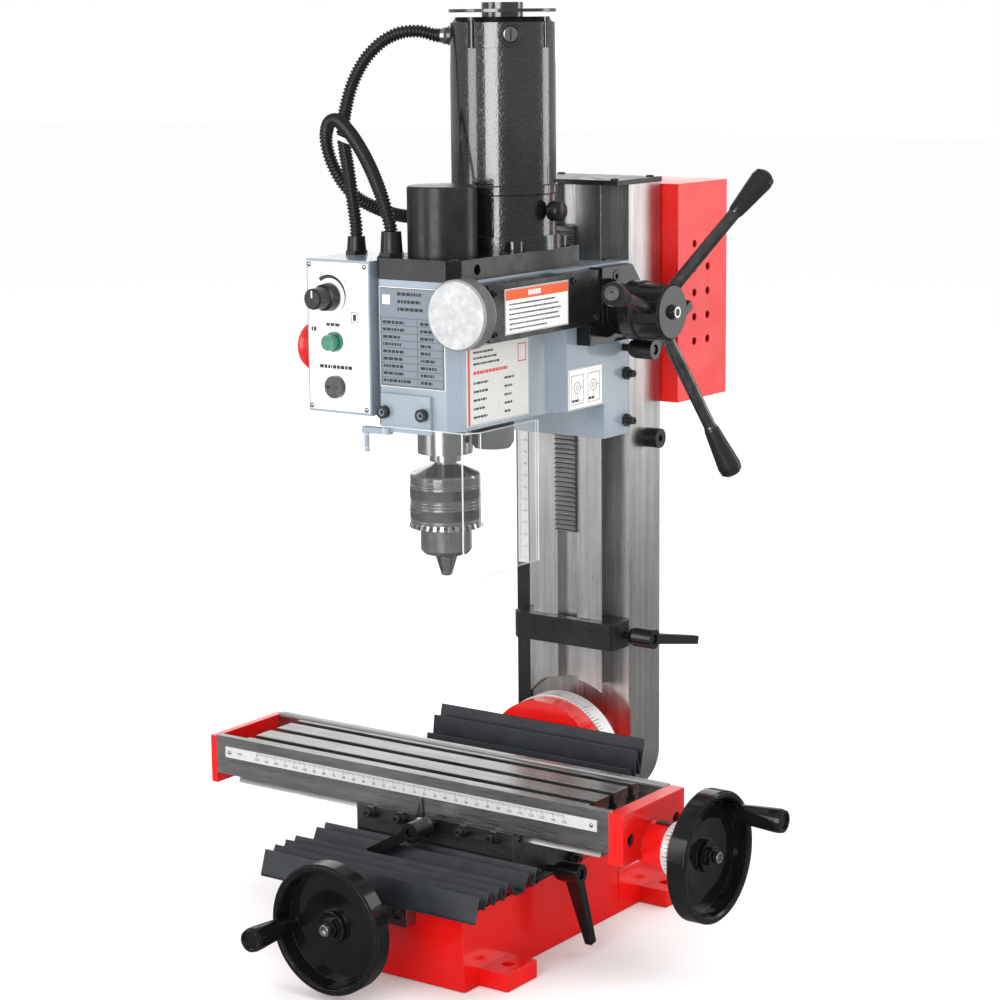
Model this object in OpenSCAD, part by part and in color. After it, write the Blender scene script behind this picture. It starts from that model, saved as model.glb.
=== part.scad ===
// Benchtop milling machine with a tilting dovetail column, compound table and geared head.
// Millimetres, +Z up, front towards -Y. Origin: centre of the four foot holes, on the underside.

/* [Base] */
// Length of the base casting, front to back
base_len = 302; // [300:2:306]
// Half of the width of the base casting
base_half = 75; // [74:1:76]
// Height of the bed that carries the saddle
bed_h = 58; // [57:1:58]
// Height of the rear deck under the column
deck_h = 35; // [30:1:38]
// Distance between the front and rear rows of foot holes
foot_pitch_y = 226; // [224:2:228]
// Distance between the left and right foot holes
foot_pitch_x = 176; // [174:2:178]
// Radius of a foot hole
foot_hole_r = 5; // [4:0.5:6]

/* [Table] */
// Length of the table slab
table_len = 382.6; // [370:0.2:390]
// Width of the table slab
table_w = 86.8; // [84:0.2:88]
// Height of the table top above the bench
table_top = 138.8; // [138:0.2:140]
// Width of a T-slot neck
slot_w = 8; // [6:0.5:9]
// Distance between T-slots
slot_pitch = 26.5; // [24:0.5:28]
// Outer radius of a handwheel
wheel_r = 50; // [46:1:52]

/* [Column] */
// Height of the tilt axis above the bench
tilt_z = 112; // [110:1:114]
// Half of the width of the column body
column_half = 49.1; // [47:0.1:49.5]
// Height of the top of the column
column_top = 588; // [580:1:600]
// Radius of the tilting disc on the base
disc_r = 54; // [52:0.5:55]

/* [Head] */
// Distance of the spindle axis in front of the origin
spindle_y = 65; // [64:1:66]
// Half of the width of the head casting
head_half = 39.2; // [38:0.1:40]
// Radius of the motor can
motor_r = 40.5; // [38:0.5:42]
// Outer radius of the drill chuck
chuck_r = 27; // [24:0.5:28]
// Outer diameter of the corrugated hoses
hose_d = 10.5; // [9:0.5:11]

/* [Hidden] */
$fn = 64;
gap = 0.3; // space between sliding surfaces
run = 0.05; // radial clearance of a shaft in its bearing

base_front = -base_len / 2;
bed_back = 62; // where the bed ends and the tilting disc begins
way_top = 72;
way_root = 30; // half-widths of the base dovetail
way_tip = 38;
saddle_front = -87.4;
saddle_back = 7.5;
saddle_mid = (saddle_front + saddle_back) / 2;
table_front = -86.6;
table_back = table_front + table_w;
table_mid = (table_front + table_back) / 2;
table_x0 = -221.5;
table_x1 = table_x0 + table_len;
table_bot = 106.7;
rail_bot = 98;
land_top = table_top - 1.5;
x_screw_z = 104;
y_screw_z = 55.5;
screw_r = 5;
journal_r = 6;
plate_t = 6;
bracket_t = 12.7;
recess_r = disc_r + 12; // faced circle in the column round the tilting disc
col_face = 101.5; // front of the column dovetail
col_body = 118.5; // front of the column body
col_back = 166;
dove_half = 33.6; // dovetail half-width at its front
dove_in = 9.8; // how far each flank leans in
foot_face = 121; // face of the column that sits on the disc
pin_r = 10;
rack_module = 1.25;
pinion_teeth = 18;
pinion_r = rack_module * pinion_teeth / 2;
rack_pitch_y = 97.5;
pinion_y = rack_pitch_y - pinion_r;
pinion_z = 489;
head_front = -103.5;
head_bot = 413;
head_top = 524.3;
plate_top = 540.2;
wide_half = 49.6; // half-width of the rear of the head
wide_front = 28;
carr_front = 80.75;
carr_back = 117.5;
carr_bot = 384.7;
motor_y = 16;
gear_module = 1.5;
gear_z0 = 498;
spindle_teeth = 42;
idler_teeth = 26;
motor_teeth = 14;
idler_y = -spindle_y + gear_module * (spindle_teeth + idler_teeth) / 2;
box_x0 = -100;
box_x1 = -39.5;
box_y0 = -104;
box_y1 = -44;
box_z0 = 420;
box_z1 = 537;
feed_x = 52;
feed_z = 503;

// Points along the middle of the hose from the motor to the control box
motor_route = [[-50.1, 6, 702], [-57, 5, 702.8], [-67, 0, 705.5], [-78, -7, 705], [-88, -12, 701],
    [-96, -18, 694], [-103, -25, 683], [-108, -32, 668], [-110, -38, 652], [-108, -46, 634],
    [-103, -51, 618], [-97, -55, 603], [-92, -58, 588], [-88, -60, 572], [-86, -60, 558], [-86, -60, 551]];
// Points along the middle of the hose from the head to the electrics box
supply_route = [[-29, -90, 559], [-31, -90, 567], [-38, -89, 584], [-52, -83, 603], [-68, -76, 619],
    [-86, -68, 632], [-102, -61, 639], [-115, -55, 636], [-122, -50, 624], [-121, -46, 608],
    [-116, -40, 592], [-110, -30, 579], [-104, -18, 571], [-98, 0, 564], [-93, 20, 560],
    [-87, 45, 558], [-81, 75, 557], [-76, 105, 556], [-70, 126, 556], [-62, 140, 556],
    [-58.3, 149, 556], [-58, 157.9, 556]];

// ---------- shared shapes ----------
module block(x0, x1, y0, y1, z0, z1) { translate([x0, y0, z0]) cube([x1 - x0, y1 - y0, z1 - z0]); }
module x_rod(r, x0, x1, y, z) { translate([x0, y, z]) rotate([0, 90, 0]) cylinder(r = r, h = x1 - x0); }
module y_rod(r, y0, y1, x, z) { translate([x, y1, z]) rotate([90, 0, 0]) cylinder(r = r, h = y1 - y0); }
module z_rod(r, z0, z1, x, y) { translate([x, y, z0]) cylinder(r = r, h = z1 - z0); }
// An outline given as [y, z] points, drawn out along X
module along_x(x0, x1) { translate([x0, 0, 0]) rotate([90, 0, 90]) linear_extrude(x1 - x0) children(); }
// An outline given as [x, z] points, drawn out along Y
module along_y(y0, y1) { translate([0, y1, 0]) rotate([90, 0, 0]) linear_extrude(y1 - y0) children(); }
// A socket-head screw whose head stands on z = 0
module socket_screw(r, h, shank, shank_r) {
    difference() {
        cylinder(r = r, h = h);
        translate([0, 0, h / 2]) cylinder(r = r * 0.5, h = h, $fn = 6);
    }
    if (shank > 0) translate([0, 0, -shank]) cylinder(r = shank_r, h = shank);
}
// A trapezoid-toothed gear outline; a tooth points along +X
function gear_points(m, n, lean = 0) = let (r = m * n / 2, p = 360 / n)
    [for (i = [0:n - 1]) for (q = [[-0.29, -1.2], [-0.11, 0.8], [0.11, 0.8], [0.29, -1.2]])
        let (a = i * p + q[0] * p + lean, s = r + q[1] * m) [s * cos(a), s * sin(a)]];
module gear(m, n, h, lean = 0) { linear_extrude(h) polygon(gear_points(m, n, lean)); }

// A tube of eight-sided rings swept along a list of points
function unit(v) = v / norm(v);
function way(p, i) = unit(p[min(i + 1, len(p) - 1)] - p[max(i - 1, 0)]);
function side(t) = unit(cross(t, [0.3, 0.9, 0.31]));
module tube(p, r, n = 8) {
    rings = [for (i = [0:len(p) - 1]) let (t = way(p, i), u = side(t), v = cross(t, u))
        for (k = [0:n - 1]) p[i] + r * (cos(k * 360 / n) * u + sin(k * 360 / n) * v)];
    last = (len(p) - 1) * n;
    walls = [for (i = [0:len(p) - 2]) for (k = [0:n - 1])
        [i * n + k, (i + 1) * n + k, (i + 1) * n + (k + 1) % n, i * n + (k + 1) % n]];
    ends = [[for (k = [0:n - 1]) k], [for (k = [n - 1:-1:0]) last + k]];
    polyhedron(rings, concat(walls, ends));
}

// A clamping lever: stud along +Z from z = 0, hub above it and an arm along +X
module clamp_lever(arm = 60, drop = 6) {
    cylinder(r = 3, h = 9);
    translate([0, 0, 8]) cylinder(r1 = 6.5, r2 = 8, h = 4);
    translate([0, 0, 12]) difference() {
        cylinder(r = 8, h = 18);
        translate([0, 0, 15]) cylinder(r = 4, h = 4);
    }
    translate([0, 0, 25]) cylinder(r = 3.2, h = 3.5, $fn = 6);
    hull() {
        translate([5.5, -4, 17]) cube([1, 8, 12]);
        translate([arm - 2, -3.5, 23 + drop]) cube([2, 7, 6]);
    }
}

// A dished handwheel about +Z, its back at z = 0, with the handle pin at radius pin_at
module handwheel(pin_at = 39) {
    rotate_extrude() polygon([[journal_r, -2.5], [12, -2.5], [13, 3], [30, 4.5], [wheel_r - 6, 5],
        [wheel_r - 1.5, 5], [wheel_r, 6.5], [wheel_r, 19.5], [wheel_r - 1.5, 21], [wheel_r - 4.5, 21],
        [wheel_r - 6, 19.5], [wheel_r - 8, 9], [28, 10.5], [13, 9], [12, 13], [journal_r, 13]]);
    translate([0, 0, 13]) cylinder(r = 8, h = 3.5, $fn = 6);
    translate([0, 0, 16.5]) cylinder(r = 5, h = 2.5);
    translate([pin_at, 0, 8]) cylinder(r = 4, h = 46);
    translate([pin_at, 0, 8]) cylinder(r = 5.5, h = 13.2);
}
// The loose grip that turns on a handwheel's pin
module wheel_grip(pin_at = 39) {
    translate([pin_at, 0, 0]) difference() {
        rotate_extrude() polygon([[0, 21.8], [6.3, 21.8], [7, 23.5], [7.6, 30], [9, 50], [9.2, 56], [8.4, 59.5],
            [6.5, 59.5], [6.5, 58], [0, 58]]);
        translate([0, 0, 21]) cylinder(r = 4 + run, h = 34);
    }
}
module dial_ring() {
    difference() {
        rotate_extrude() polygon([[journal_r, 0], [20, 0], [21, 1], [21, 6], [18, 7], [journal_r, 7]]);
        for (i = [0:39]) rotate([0, 0, i * 9]) translate([20.6, -0.25, 0.5]) cube([1, 0.5, 3]);
    }
}

// ---------- base ----------
module base_casting() color("red") difference() {
    union() {
        along_y(base_front, bed_back) polygon([[-base_half, 0], [base_half, 0], [base_half - 1.5, bed_h],
            [1.5 - base_half, bed_h]]);
        block(-base_half, base_half, bed_back, base_len / 2, 0, deck_h);
        along_y(base_front, 50) polygon([[-way_root, bed_h - 1], [way_root, bed_h - 1], [way_tip, way_top],
            [-way_tip, way_top]]);
        block(-40, 40, bed_back, 98, deck_h - 1, tilt_z);
        y_rod(disc_r, bed_back, 98, 0, tilt_z);
        y_rod(40, 98, foot_face - 0.2, 0, tilt_z);
        for (s = [-1, 1]) for (y = [-132.3, 93.7])
            block(s < 0 ? -101 : base_half - 2, s < 0 ? 2 - base_half : 101, y, y + 38.6, 0, 13.8);
    }
    block(-60, 60, base_front + 14, 48, -1, 28);
    block(-62, 62, 66, base_len / 2 - 12, -1, 24);
    block(-13, 13, base_front + 11, 51, y_screw_z - 12, way_top + 1);
    y_rod(8, base_front - 1, base_front + 12, 0, y_screw_z);
    y_rod(pin_r + run, 60, foot_face, 0, tilt_z);
    y_rod(19, 61, 76, 0, tilt_z);
    for (s = [-1, 1]) for (t = [-1, 1])
        z_rod(foot_hole_r, -1, 15, s * foot_pitch_x / 2, t * foot_pitch_y / 2);
}
module y_bearing_plate() color("silver") {
    difference() {
        union() {
            block(-30, 30, base_front - 11.4, base_front, 45.5, 65.5);
            y_rod(10.5, -182, base_front - 11, 0, y_screw_z);
        }
        y_rod(journal_r + run, -183, base_front + 1, 0, y_screw_z);
        for (s = [-1, 1]) y_rod(5.2, base_front - 12, base_front - 6, s * 21, y_screw_z);
    }
    for (s = [-1, 1]) translate([s * 21, base_front - 6, y_screw_z]) rotate([90, 0, 0]) socket_screw(4.5, 4, 0, 0);
}
module tilt_scale() color("white") difference() {
    y_rod(disc_r + 1.2, 80, 97, 0, tilt_z);
    y_rod(disc_r, 79, 98, 0, tilt_z);
    block(-80, 80, 70, 110, 0, tilt_z + 12);
}
module tilt_bolt() color("dimgray") {
    y_rod(pin_r, 74.5, col_back + 4, 0, tilt_z);
    translate([0, 75.5, tilt_z]) rotate([90, 0, 0]) cylinder(r = 17, h = 11, $fn = 6);
    y_rod(21, col_back + 0.2, col_back + 4, 0, tilt_z);
    translate([0, col_back + 18, tilt_z]) rotate([90, 0, 0]) cylinder(r = 18, h = 14, $fn = 6);
    y_rod(pin_r, col_back + 18, col_back + 22, 0, tilt_z);
}
// Folded rubber way covers: a zigzag in Y and Z with a constant wall
function folds(p, t) = concat(p, [for (i = [len(p) - 1:-1:0]) p[i] - [0, t]]);
module front_bellows() color("darkslategray") along_x(-102, 102) polygon(folds(
    [[-88, 84], [-94, 87], [-99, 75], [-105, 86], [-111, 74.6], [-121, 74.6], [-131, 86], [-137, 75],
    [-143, 86], [-149, 75], [-156, 85.5], [-162, 75], [-168, 85], [-174, 67]], 2));
module rear_bellows() color("darkslategray") along_x(-100, 100) polygon(folds(
    [[8, 88], [14, 103], [20, 90], [27, 117], [33, 100], [40, 130], [46, 116], [50, 143], [55, 126],
    [61, 150]], 4));

// ---------- saddle ----------
module saddle() color("gray") difference() {
    block(-base_half, base_half, saddle_front, saddle_back, 60, table_bot - gap);
    // dovetail over the base, wider on the right for the gib
    along_y(saddle_front - 1, saddle_back + 1) polygon([[-way_root - 1.5, 59], [way_root + 5, 59],
        [way_tip + 4.6, way_top + gap], [-way_tip - 0.6, way_top + gap]]);
    // dovetail for the table rails, wider at the front for the gib
    along_x(-base_half - 1, base_half + 1) polygon([[table_mid - 37.4, rail_bot - gap],
        [table_mid + 33.7, rail_bot - gap], [table_mid + 29.2, table_bot], [table_mid - 32.4, table_bot]]);
    block(-12, 12, table_mid - 9, table_mid + 9, 90, 110);
    block(-10, 10, -52, -32, 70, 84);
    for (x = [-59, -30, 30, 59]) y_rod(2.5, saddle_front - 1, table_mid - 30, x, 101.7);
    y_rod(3, saddle_front - 1, table_mid - 30, 0, 101.7);
    for (y = [-68, -7.5]) x_rod(2.5, 36, base_half + 1, y, 66);
    x_rod(3, 36, base_half + 1, -38, 66);
    y_rod(1.6, saddle_front - 1, saddle_front + 8, -13, 101.5);
}
module saddle_gibs() color("dimgray") {
    // strip between the table rail and the front of the saddle
    along_x(-base_half + 1, base_half - 1) polygon([[table_mid - 36.9, rail_bot],
        [table_mid - 34, rail_bot], [table_mid - 29.4, table_bot - 0.6], [table_mid - 32.3, table_bot - 0.6]]);
    // strip between the base dovetail and the right of the saddle
    along_y(saddle_front + 1, saddle_back - 1) polygon([[way_root + 2.1, 60], [way_root + 4.7, 60],
        [way_tip + 3.7, way_top - 0.2], [way_tip + 0.5, way_top - 0.2]]);
    for (x = [-59, -30, 30, 59]) translate([x, saddle_front - 4, 101.7]) rotate([90, 0, 0]) {
        socket_screw(3, 5, 10, 2.5);
        translate([0, 0, -4]) difference() { cylinder(r = 5.2, h = 3.9, $fn = 6); cylinder(r = 2.5, h = 9, center = true); }
    }
    for (y = [-68, -7.5]) translate([base_half + 4, y, 66]) rotate([0, 90, 0]) {
        socket_screw(3, 5, 34, 2.5);
        translate([0, 0, -4]) difference() { cylinder(r = 5.2, h = 3.9, $fn = 6); cylinder(r = 2.5, h = 9, center = true); }
    }
}
module pointer() color("silver") {
    along_y(saddle_front - 1.6, saddle_front - 0.2) polygon([[-17, 98], [-9, 98], [-10.5, 121], [-11.5, 121]]);
    y_rod(1.6, saddle_front - 1.6, saddle_front + 7, -13, 101.5);
    y_rod(2.8, saddle_front - 3.4, saddle_front - 1.6, -13, 101.5);
}
module feed_nuts() color("goldenrod") {
    difference() {
        block(-12, 12, table_mid - 9, table_mid + 9, 90, 111);
        x_rod(screw_r + run, -13, 13, table_mid, x_screw_z);
    }
    difference() {
        block(-10, 10, -52, -32, 46.5, 84);
        y_rod(screw_r + run, -53, -31, 0, y_screw_z);
    }
}
module x_lock_lever() color("black") translate([0, saddle_front, 101.7]) rotate([90, 0, 0]) {
    translate([0, 0, -7]) cylinder(r = 3 - run, h = 8);
    rotate([0, 0, 209]) clamp_lever(46, 2);
}
module y_lock_lever() color("black") translate([base_half, -38, 66]) rotate([0, 90, 0]) {
    translate([0, 0, -25]) cylinder(r = 3 - run, h = 26);
    rotate([0, 0, 12]) clamp_lever(60, 4);
}

// ---------- table ----------
module table() color("lightgray") difference() {
    union() {
        block(table_x0, table_x1, table_front, table_back, table_bot, table_top);
        along_x(table_x0 + 14, table_x1 - 14) polygon([[table_mid - 33, rail_bot], [table_mid + 33, rail_bot],
            [table_mid + 28, table_bot + 1], [table_mid - 28, table_bot + 1]]);
    }
    // channel for the leadscrew and its nut
    block(table_x0 - 1, table_x1 + 1, table_mid - 12, table_mid + 12, rail_bot - 1, 113.5);
    // sunk working face inside the rim
    along_x(table_x0 - 1, table_x1 + 1) polygon([[table_front + 5, table_top + 1], [table_front + 6.5, land_top],
        [table_back - 6.5, land_top], [table_back - 5, table_top + 1]]);
    for (i = [-1:1]) {
        block(table_x0 - 1, table_x1 + 1, table_mid + i * slot_pitch - slot_w / 2,
            table_mid + i * slot_pitch + slot_w / 2, 123, land_top + 1);
        block(table_x0 - 1, table_x1 + 1, table_mid + i * slot_pitch - slot_w / 2 - 3,
            table_mid + i * slot_pitch + slot_w / 2 + 3, 122, 128.5);
    }
    // coolant wells at both ends
    for (x = [table_x0 - 1, table_x1 - 25]) block(x, x + 26, table_front + 8, table_back - 8, 121, land_top + 1);
    for (s = [-1, 1]) {
        x_rod(3, table_x0 - 1, table_x0 + 14, table_mid + s * 32, 116);
        x_rod(3, table_x1 - 14, table_x1 + 1, table_mid + s * 32, 116);
    }
}
module table_end_plate() color("red") difference() {
    block(table_x0 - plate_t, table_x0, table_front, table_back, 98.3, table_top - 1);
    x_rod(screw_r + run, table_x0 - 9, table_x0 + 1, table_mid, x_screw_z);
    for (s = [-1, 1]) x_rod(3.2, table_x0 - 9, table_x0 + 1, table_mid + s * 32, 116);
}
module x_bracket() color("red") difference() {
    union() {
        block(table_x1, table_x1 + bracket_t, table_front, table_back, 98.3, table_top - 1);
        x_rod(18, table_x1 + bracket_t - 1, table_x1 + 30, table_mid, x_screw_z);
        x_rod(14, table_x1 + 4, table_x1 + bracket_t, table_mid, x_screw_z);
    }
    x_rod(journal_r + run, table_x1 - 1, table_x1 + 40, table_mid, x_screw_z);
    for (s = [-1, 1]) {
        x_rod(3.2, table_x1 - 1, table_x1 + 20, table_mid + s * 32, 116);
        x_rod(5.2, table_x1 + 6, table_x1 + 20, table_mid + s * 32, 116);
    }
}
module x_scale() color("white") {
    block(-211.5, 151, table_front - 0.6, table_front, 121.5, 130.4);
    for (x = [-207, 146.5]) y_rod(1.6, table_front - 1.1, table_front - 0.6, x, 126);
}
module table_screws() color("black") {
    for (s = [-1, 1]) translate([table_x1 + 6, table_mid + s * 32, 116]) rotate([0, 90, 0]) socket_screw(5, 5, 18, 2.95);
    for (s = [-1, 1]) translate([table_x0 - plate_t, table_mid + s * 32, 116]) rotate([0, -90, 0])
        socket_screw(5, 4, 18, 2.95);
    // index plate screwed to the top of the bearing boss
    block(table_x1 + 16, table_x1 + 30, table_mid - 3, table_mid + 3, x_screw_z + 18.1, x_screw_z + 19.4);
}
module x_leadscrew() color("silver") {
    x_rod(screw_r, table_x0 - 4, table_x1 - 3, table_mid, x_screw_z);
    x_rod(journal_r, table_x1 - 3, table_x1 + 58, table_mid, x_screw_z);
}
module x_dial() color("white") translate([table_x1 + 30.2, table_mid, x_screw_z]) rotate([0, 90, 0]) {
    dial_ring();
    difference() {
        translate([0, 0, 6.9]) cylinder(r = 13, h = 8.7);
        cylinder(r = journal_r, h = 20);
    }
}
module x_handwheel() color("black") translate([table_x1 + 48.4, table_mid, x_screw_z])
    rotate([0, 90, 0]) rotate([0, 0, 134]) handwheel();
module x_handle() color("black") translate([table_x1 + 48.4, table_mid, x_screw_z])
    rotate([0, 90, 0]) rotate([0, 0, 134]) wheel_grip();
module y_leadscrew() color("silver") {
    y_rod(journal_r, -215.4, base_front + 10, 0, y_screw_z);
    y_rod(screw_r, base_front + 10, 40, 0, y_screw_z);
}
module y_dial() color("white") translate([0, base_front - 11.6, y_screw_z]) rotate([90, 0, 0])
    translate([0, 0, 30]) dial_ring();
module y_handwheel() color("black") {
    translate([0, -202.5, y_screw_z]) rotate([90, 0, 0]) rotate([0, 0, 186]) handwheel();
    // spacer sleeve between the bearing and the dial
    difference() {
        y_rod(16, -192.4, -182.3, 0, y_screw_z);
        y_rod(journal_r, -193, -182, 0, y_screw_z);
    }
}
module y_handle() color("black") translate([0, -202.5, y_screw_z]) rotate([90, 0, 0]) rotate([0, 0, 186]) wheel_grip();

// ---------- column ----------
// Column dovetail seen from above, grown by g, from the flank root to the front
module dovetail(g = 0) {
    polygon([[-dove_half - g, col_face - g], [dove_half + g, col_face - g],
        [dove_half - dove_in + g, col_body + 1], [dove_in - dove_half - g, col_body + 1]]);
}
module column() color("silver") difference() {
    union() {
        translate([0, 0, tilt_z]) linear_extrude(column_top - 4 - tilt_z) {
            translate([-column_half, col_body]) square([2 * column_half, col_back - col_body]);
            dovetail();
        }
        y_rod(column_half, foot_face, col_back, 0, tilt_z);
    }
    y_rod(recess_r, col_face - 5, foot_face, 0, tilt_z);
    y_rod(pin_r + 0.06, foot_face - 1, col_back + 1, 0, tilt_z);
    // rack groove and lightening core
    block(-9.5, 9.5, col_face - 1, col_face + 7, tilt_z, column_top);
    block(-36, 36, 126, 156, 190, column_top);
}
module column_cap() color("black") block(-column_half - 1, column_half + 1, col_face - 1, col_back + 1,
    column_top - 4, column_top);
module rack() color("dimgray") {
    p = PI * rack_module;
    n = 33;
    // a tooth space lies level with the pinion's axis
    along_x(-9.3, 9.3) polygon(concat([[col_face + 6.8, pinion_z - 48 * p], [col_face + 6.8, pinion_z + 16 * p]],
        [for (i = [15:-1:-48]) for (q = [[1.2, 0.79], [-0.8, 0.61], [-0.8, 0.39], [1.2, 0.21]])
            [rack_pitch_y + q[0] * rack_module, pinion_z + (i + q[1]) * p]]));
}
module z_scale() color("black") block(-62, -column_half, 118.6, 121.5, 142, 562);
module electrics_box() color("red") difference() {
    union() {
        block(-65, 65, col_back + 2, col_back + 79.4, 404, 582);
        y_rod(6.6, 158.4, col_back + 3, -58, 556);
    }
    block(-63, 63, col_back + 4, col_back + 77.4, 406, 580);
    for (z = [452:20:532]) for (y = [col_back + 28, col_back + 49]) x_rod(3.2, -70, 70, y, z);
}
module column_screw() color("black") {
    difference() {
        x_rod(8, column_half, column_half + 12, 148, 377);
        x_rod(3, column_half + 9, column_half + 13, 148, 377, $fn = 6);
    }
    // strip of spacers that holds the electrics box off the column
    for (z = [430, 556]) block(-30, 30, col_back, col_back + 2, z - 8, z + 8);
}
module depth_stop() color("dimgray") difference() {
    translate([0, 0, 208]) linear_extrude(22) difference() {
        polygon([[-44, 92], [46, 92], [50, 96], [50, 116.8], [-50, 116.8], [-50, 98]]);
        dovetail(gap);
    }
    x_rod(3, 25, 52, 109, 219);
}
module stop_lever() color("black") translate([50, 109, 219]) rotate([0, 90, 0]) {
    translate([0, 0, -16]) cylinder(r = 3 - run, h = 17);
    rotate([0, 0, 78]) clamp_lever(72, 0);
}

// ---------- head ----------
module head_outline() polygon([[-head_half, head_front + 8.6], [8.6 - head_half, head_front],
    [head_half - 8.6, head_front], [head_half, head_front + 8.6], [head_half, 17], [wide_half, wide_front],
    [wide_half, carr_back], [-wide_half, carr_back], [-wide_half, wide_front], [-head_half, 17]]);
module head_casting() color("lightsteelblue") difference() {
    union() {
        translate([0, 0, head_bot]) linear_extrude(head_top - head_bot) head_outline();
        block(-wide_half, wide_half, carr_front, carr_back, carr_bot, head_bot + 1);
        translate([0, -3, 386]) cylinder(r1 = 14, r2 = 17, h = 5);
        z_rod(17, 391, head_bot + 1, 0, -3);
    }
    // dovetail over the column, wider on the right for the gib
    translate([0, 0, carr_bot - 1]) linear_extrude(head_top) difference() {
        union() {
            dovetail(gap);
            translate([4, 0]) dovetail(gap);
        }
    }
    block(-11, 11, rack_pitch_y - 4, col_face, carr_bot - 1, head_top + 1);
    // feed pinion and its shaft
    x_rod(14, -14, 12, pinion_y, pinion_z);
    x_rod(8 + run, 0, wide_half + 1, pinion_y, pinion_z);
    // gear chamber under the top plate
    block(-34, 34, -100, 44, gear_z0 - 3, head_top + 1);
    // spindle bearings
    z_rod(21.1, head_bot - 1, 440, 0, -spindle_y);
    z_rod(15 + run, 439, gear_z0, 0, -spindle_y);
    // idler stub and motor nose
    z_rod(6, 460, gear_z0, 0, idler_y);
    // relief for the fine feed shaft
    block(44, wide_half + 1, 16, 74, feed_z - 8, feed_z + 8);
    for (z = [396, 434]) x_rod(2.5, 30, wide_half + 1, 112, z);
    x_rod(3, 28, wide_half + 1, 110, 455);
}
module head_gib() color("dimgray") {
    translate([0, 0, carr_bot + 1]) linear_extrude(head_top - carr_bot - 2) polygon([
        [dove_half + 0.8, col_face + 0.3], [dove_half + 3.9, col_face + 0.3],
        [dove_half - dove_in + 4.7, carr_back - 0.5], [dove_half - dove_in + 1.6, carr_back - 0.5]]);
    for (z = [396, 434]) translate([wide_half + 4, 112, z]) rotate([0, 90, 0]) {
        socket_screw(3, 5, 24, 2.5);
        translate([0, 0, -4]) difference() { cylinder(r = 5.2, h = 3.9, $fn = 6); cylinder(r = 2.5, h = 9, center = true); }
    }
}
module top_plate() color("black") difference() {
    translate([0, 0, head_top]) linear_extrude(plate_top - head_top) polygon([[-head_half, head_front + 8.6],
        [8.6 - head_half, head_front], [head_half - 8.6, head_front], [head_half, head_front + 8.6],
        [head_half, 61.7], [-head_half, 61.7]]);
    x_rod(4, 28, head_half + 1, -75, 532);
    z_rod(15, head_top - 1, plate_top + 1, 0, -spindle_y);
    z_rod(9, head_top - 1, plate_top + 1, 0, motor_y);
}
module spindle_cap() color("black") translate([0, -spindle_y, plate_top]) rotate_extrude()
    polygon([[0, 52.4], [25.2, 52.4], [26.25, 51.4], [26.25, 0], [23.5, 0], [23.5, 49], [0, 49]]);
module motor_body() color("black") translate([0, motor_y, 0]) {
    rotate_extrude() polygon([[7 + run, plate_top], [44, plate_top], [44, plate_top + 11],
        [motor_r, plate_top + 11], [motor_r, 582], [motor_r + 0.8, 583], [motor_r + 0.8, 589],
        [motor_r, 590], [motor_r, 693], [36, 693], [36, plate_top + 12], [7 + run, plate_top + 12]]);
    for (a = [45:90:315]) rotate([0, 0, a]) translate([42, 0, plate_top]) cylinder(r = 7, h = 8);
}
module motor_end_cap() color("black") {
    difference() {
        union() {
            z_rod(motor_r, 693, 712, 0, motor_y);
            translate([0, motor_y, 712]) cylinder(r1 = motor_r, r2 = motor_r - 4, h = 4);
            // raised bosses of the two brush holders
            for (a = [-47, 133]) translate([0, motor_y, 703]) rotate([0, 90, a]) cylinder(r = 9.5, h = motor_r + 1.5);
            // flat seat of the hose gland
            x_rod(7.6, -motor_r, -30, 6, 702);
            z_rod(16, 716, 727, 0, motor_y);
            z_rod(41.5, 719.5, 722, 0, motor_y);
        }
        z_rod(34, 692, 711, 0, motor_y);
        z_rod(7 + run, 692, 722, 0, motor_y);
        for (a = [-90:90:180]) translate([0, motor_y, 690]) rotate([0, 0, a]) translate([motor_r, 0, 0]) cylinder(r = 3.6, h = 30);
        for (a = [0:60:300]) translate([0, motor_y, 716.5]) rotate([0, 0, a + 10]) translate([8, 0, 0]) cylinder(r = 2.6, h = 20);
        for (a = [-47, 133]) translate([0, motor_y, 703]) rotate([0, 90, a]) translate([0, 0, motor_r - 8])
            cylinder(r = 5.5, h = 12);
    }
    // slotted brush caps
    for (a = [-47, 133]) translate([0, motor_y, 703]) rotate([0, 90, a]) difference() {
        translate([0, 0, motor_r - 8]) cylinder(r = 5.5, h = 11);
        translate([-5, -0.6, motor_r + 1.5]) cube([10, 1.2, 3]);
    }
    // long case screws in the side grooves
    for (a = [-90:90:180]) translate([0, motor_y, 693]) rotate([0, 0, a]) translate([motor_r - 0.4, 0, 0]) {
        cylinder(r = 1.9, h = 20);
        translate([0, 0, 20]) cylinder(r = 3, h = 3);
    }
}
module control_box() color("lightsteelblue") difference() {
    block(box_x0, box_x1, box_y0, box_y1, box_z0, box_z1);
    block(box_x0 + 2, box_x1 - 2, box_y0 + 2, box_y1 - 2, box_z0 + 2, box_z1 - 2);
    y_rod(3 + run, box_y0 - 1, box_y0 + 3, -76.8, 508.7);
    y_rod(5, box_y0 - 1, box_y0 + 3, -72.5, 474.8);
    y_rod(6, box_y0 - 1, box_y0 + 3, -72, 440.3);
    x_rod(9, box_x0 - 1, box_x0 + 3, -74, 466);
}
module control_panel() color("white") difference() {
    block(box_x0 + 2, box_x1 - 1, box_y0 - 1.2, box_y0, box_z0 + 2, box_z1 - 2);
    y_rod(3.3, box_y0 - 3, box_y0 + 1, -76.8, 508.7);
    y_rod(5, box_y0 - 3, box_y0 + 1, -72.5, 474.8);
    y_rod(6, box_y0 - 3, box_y0 + 1, -72, 440.3);
}
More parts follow.
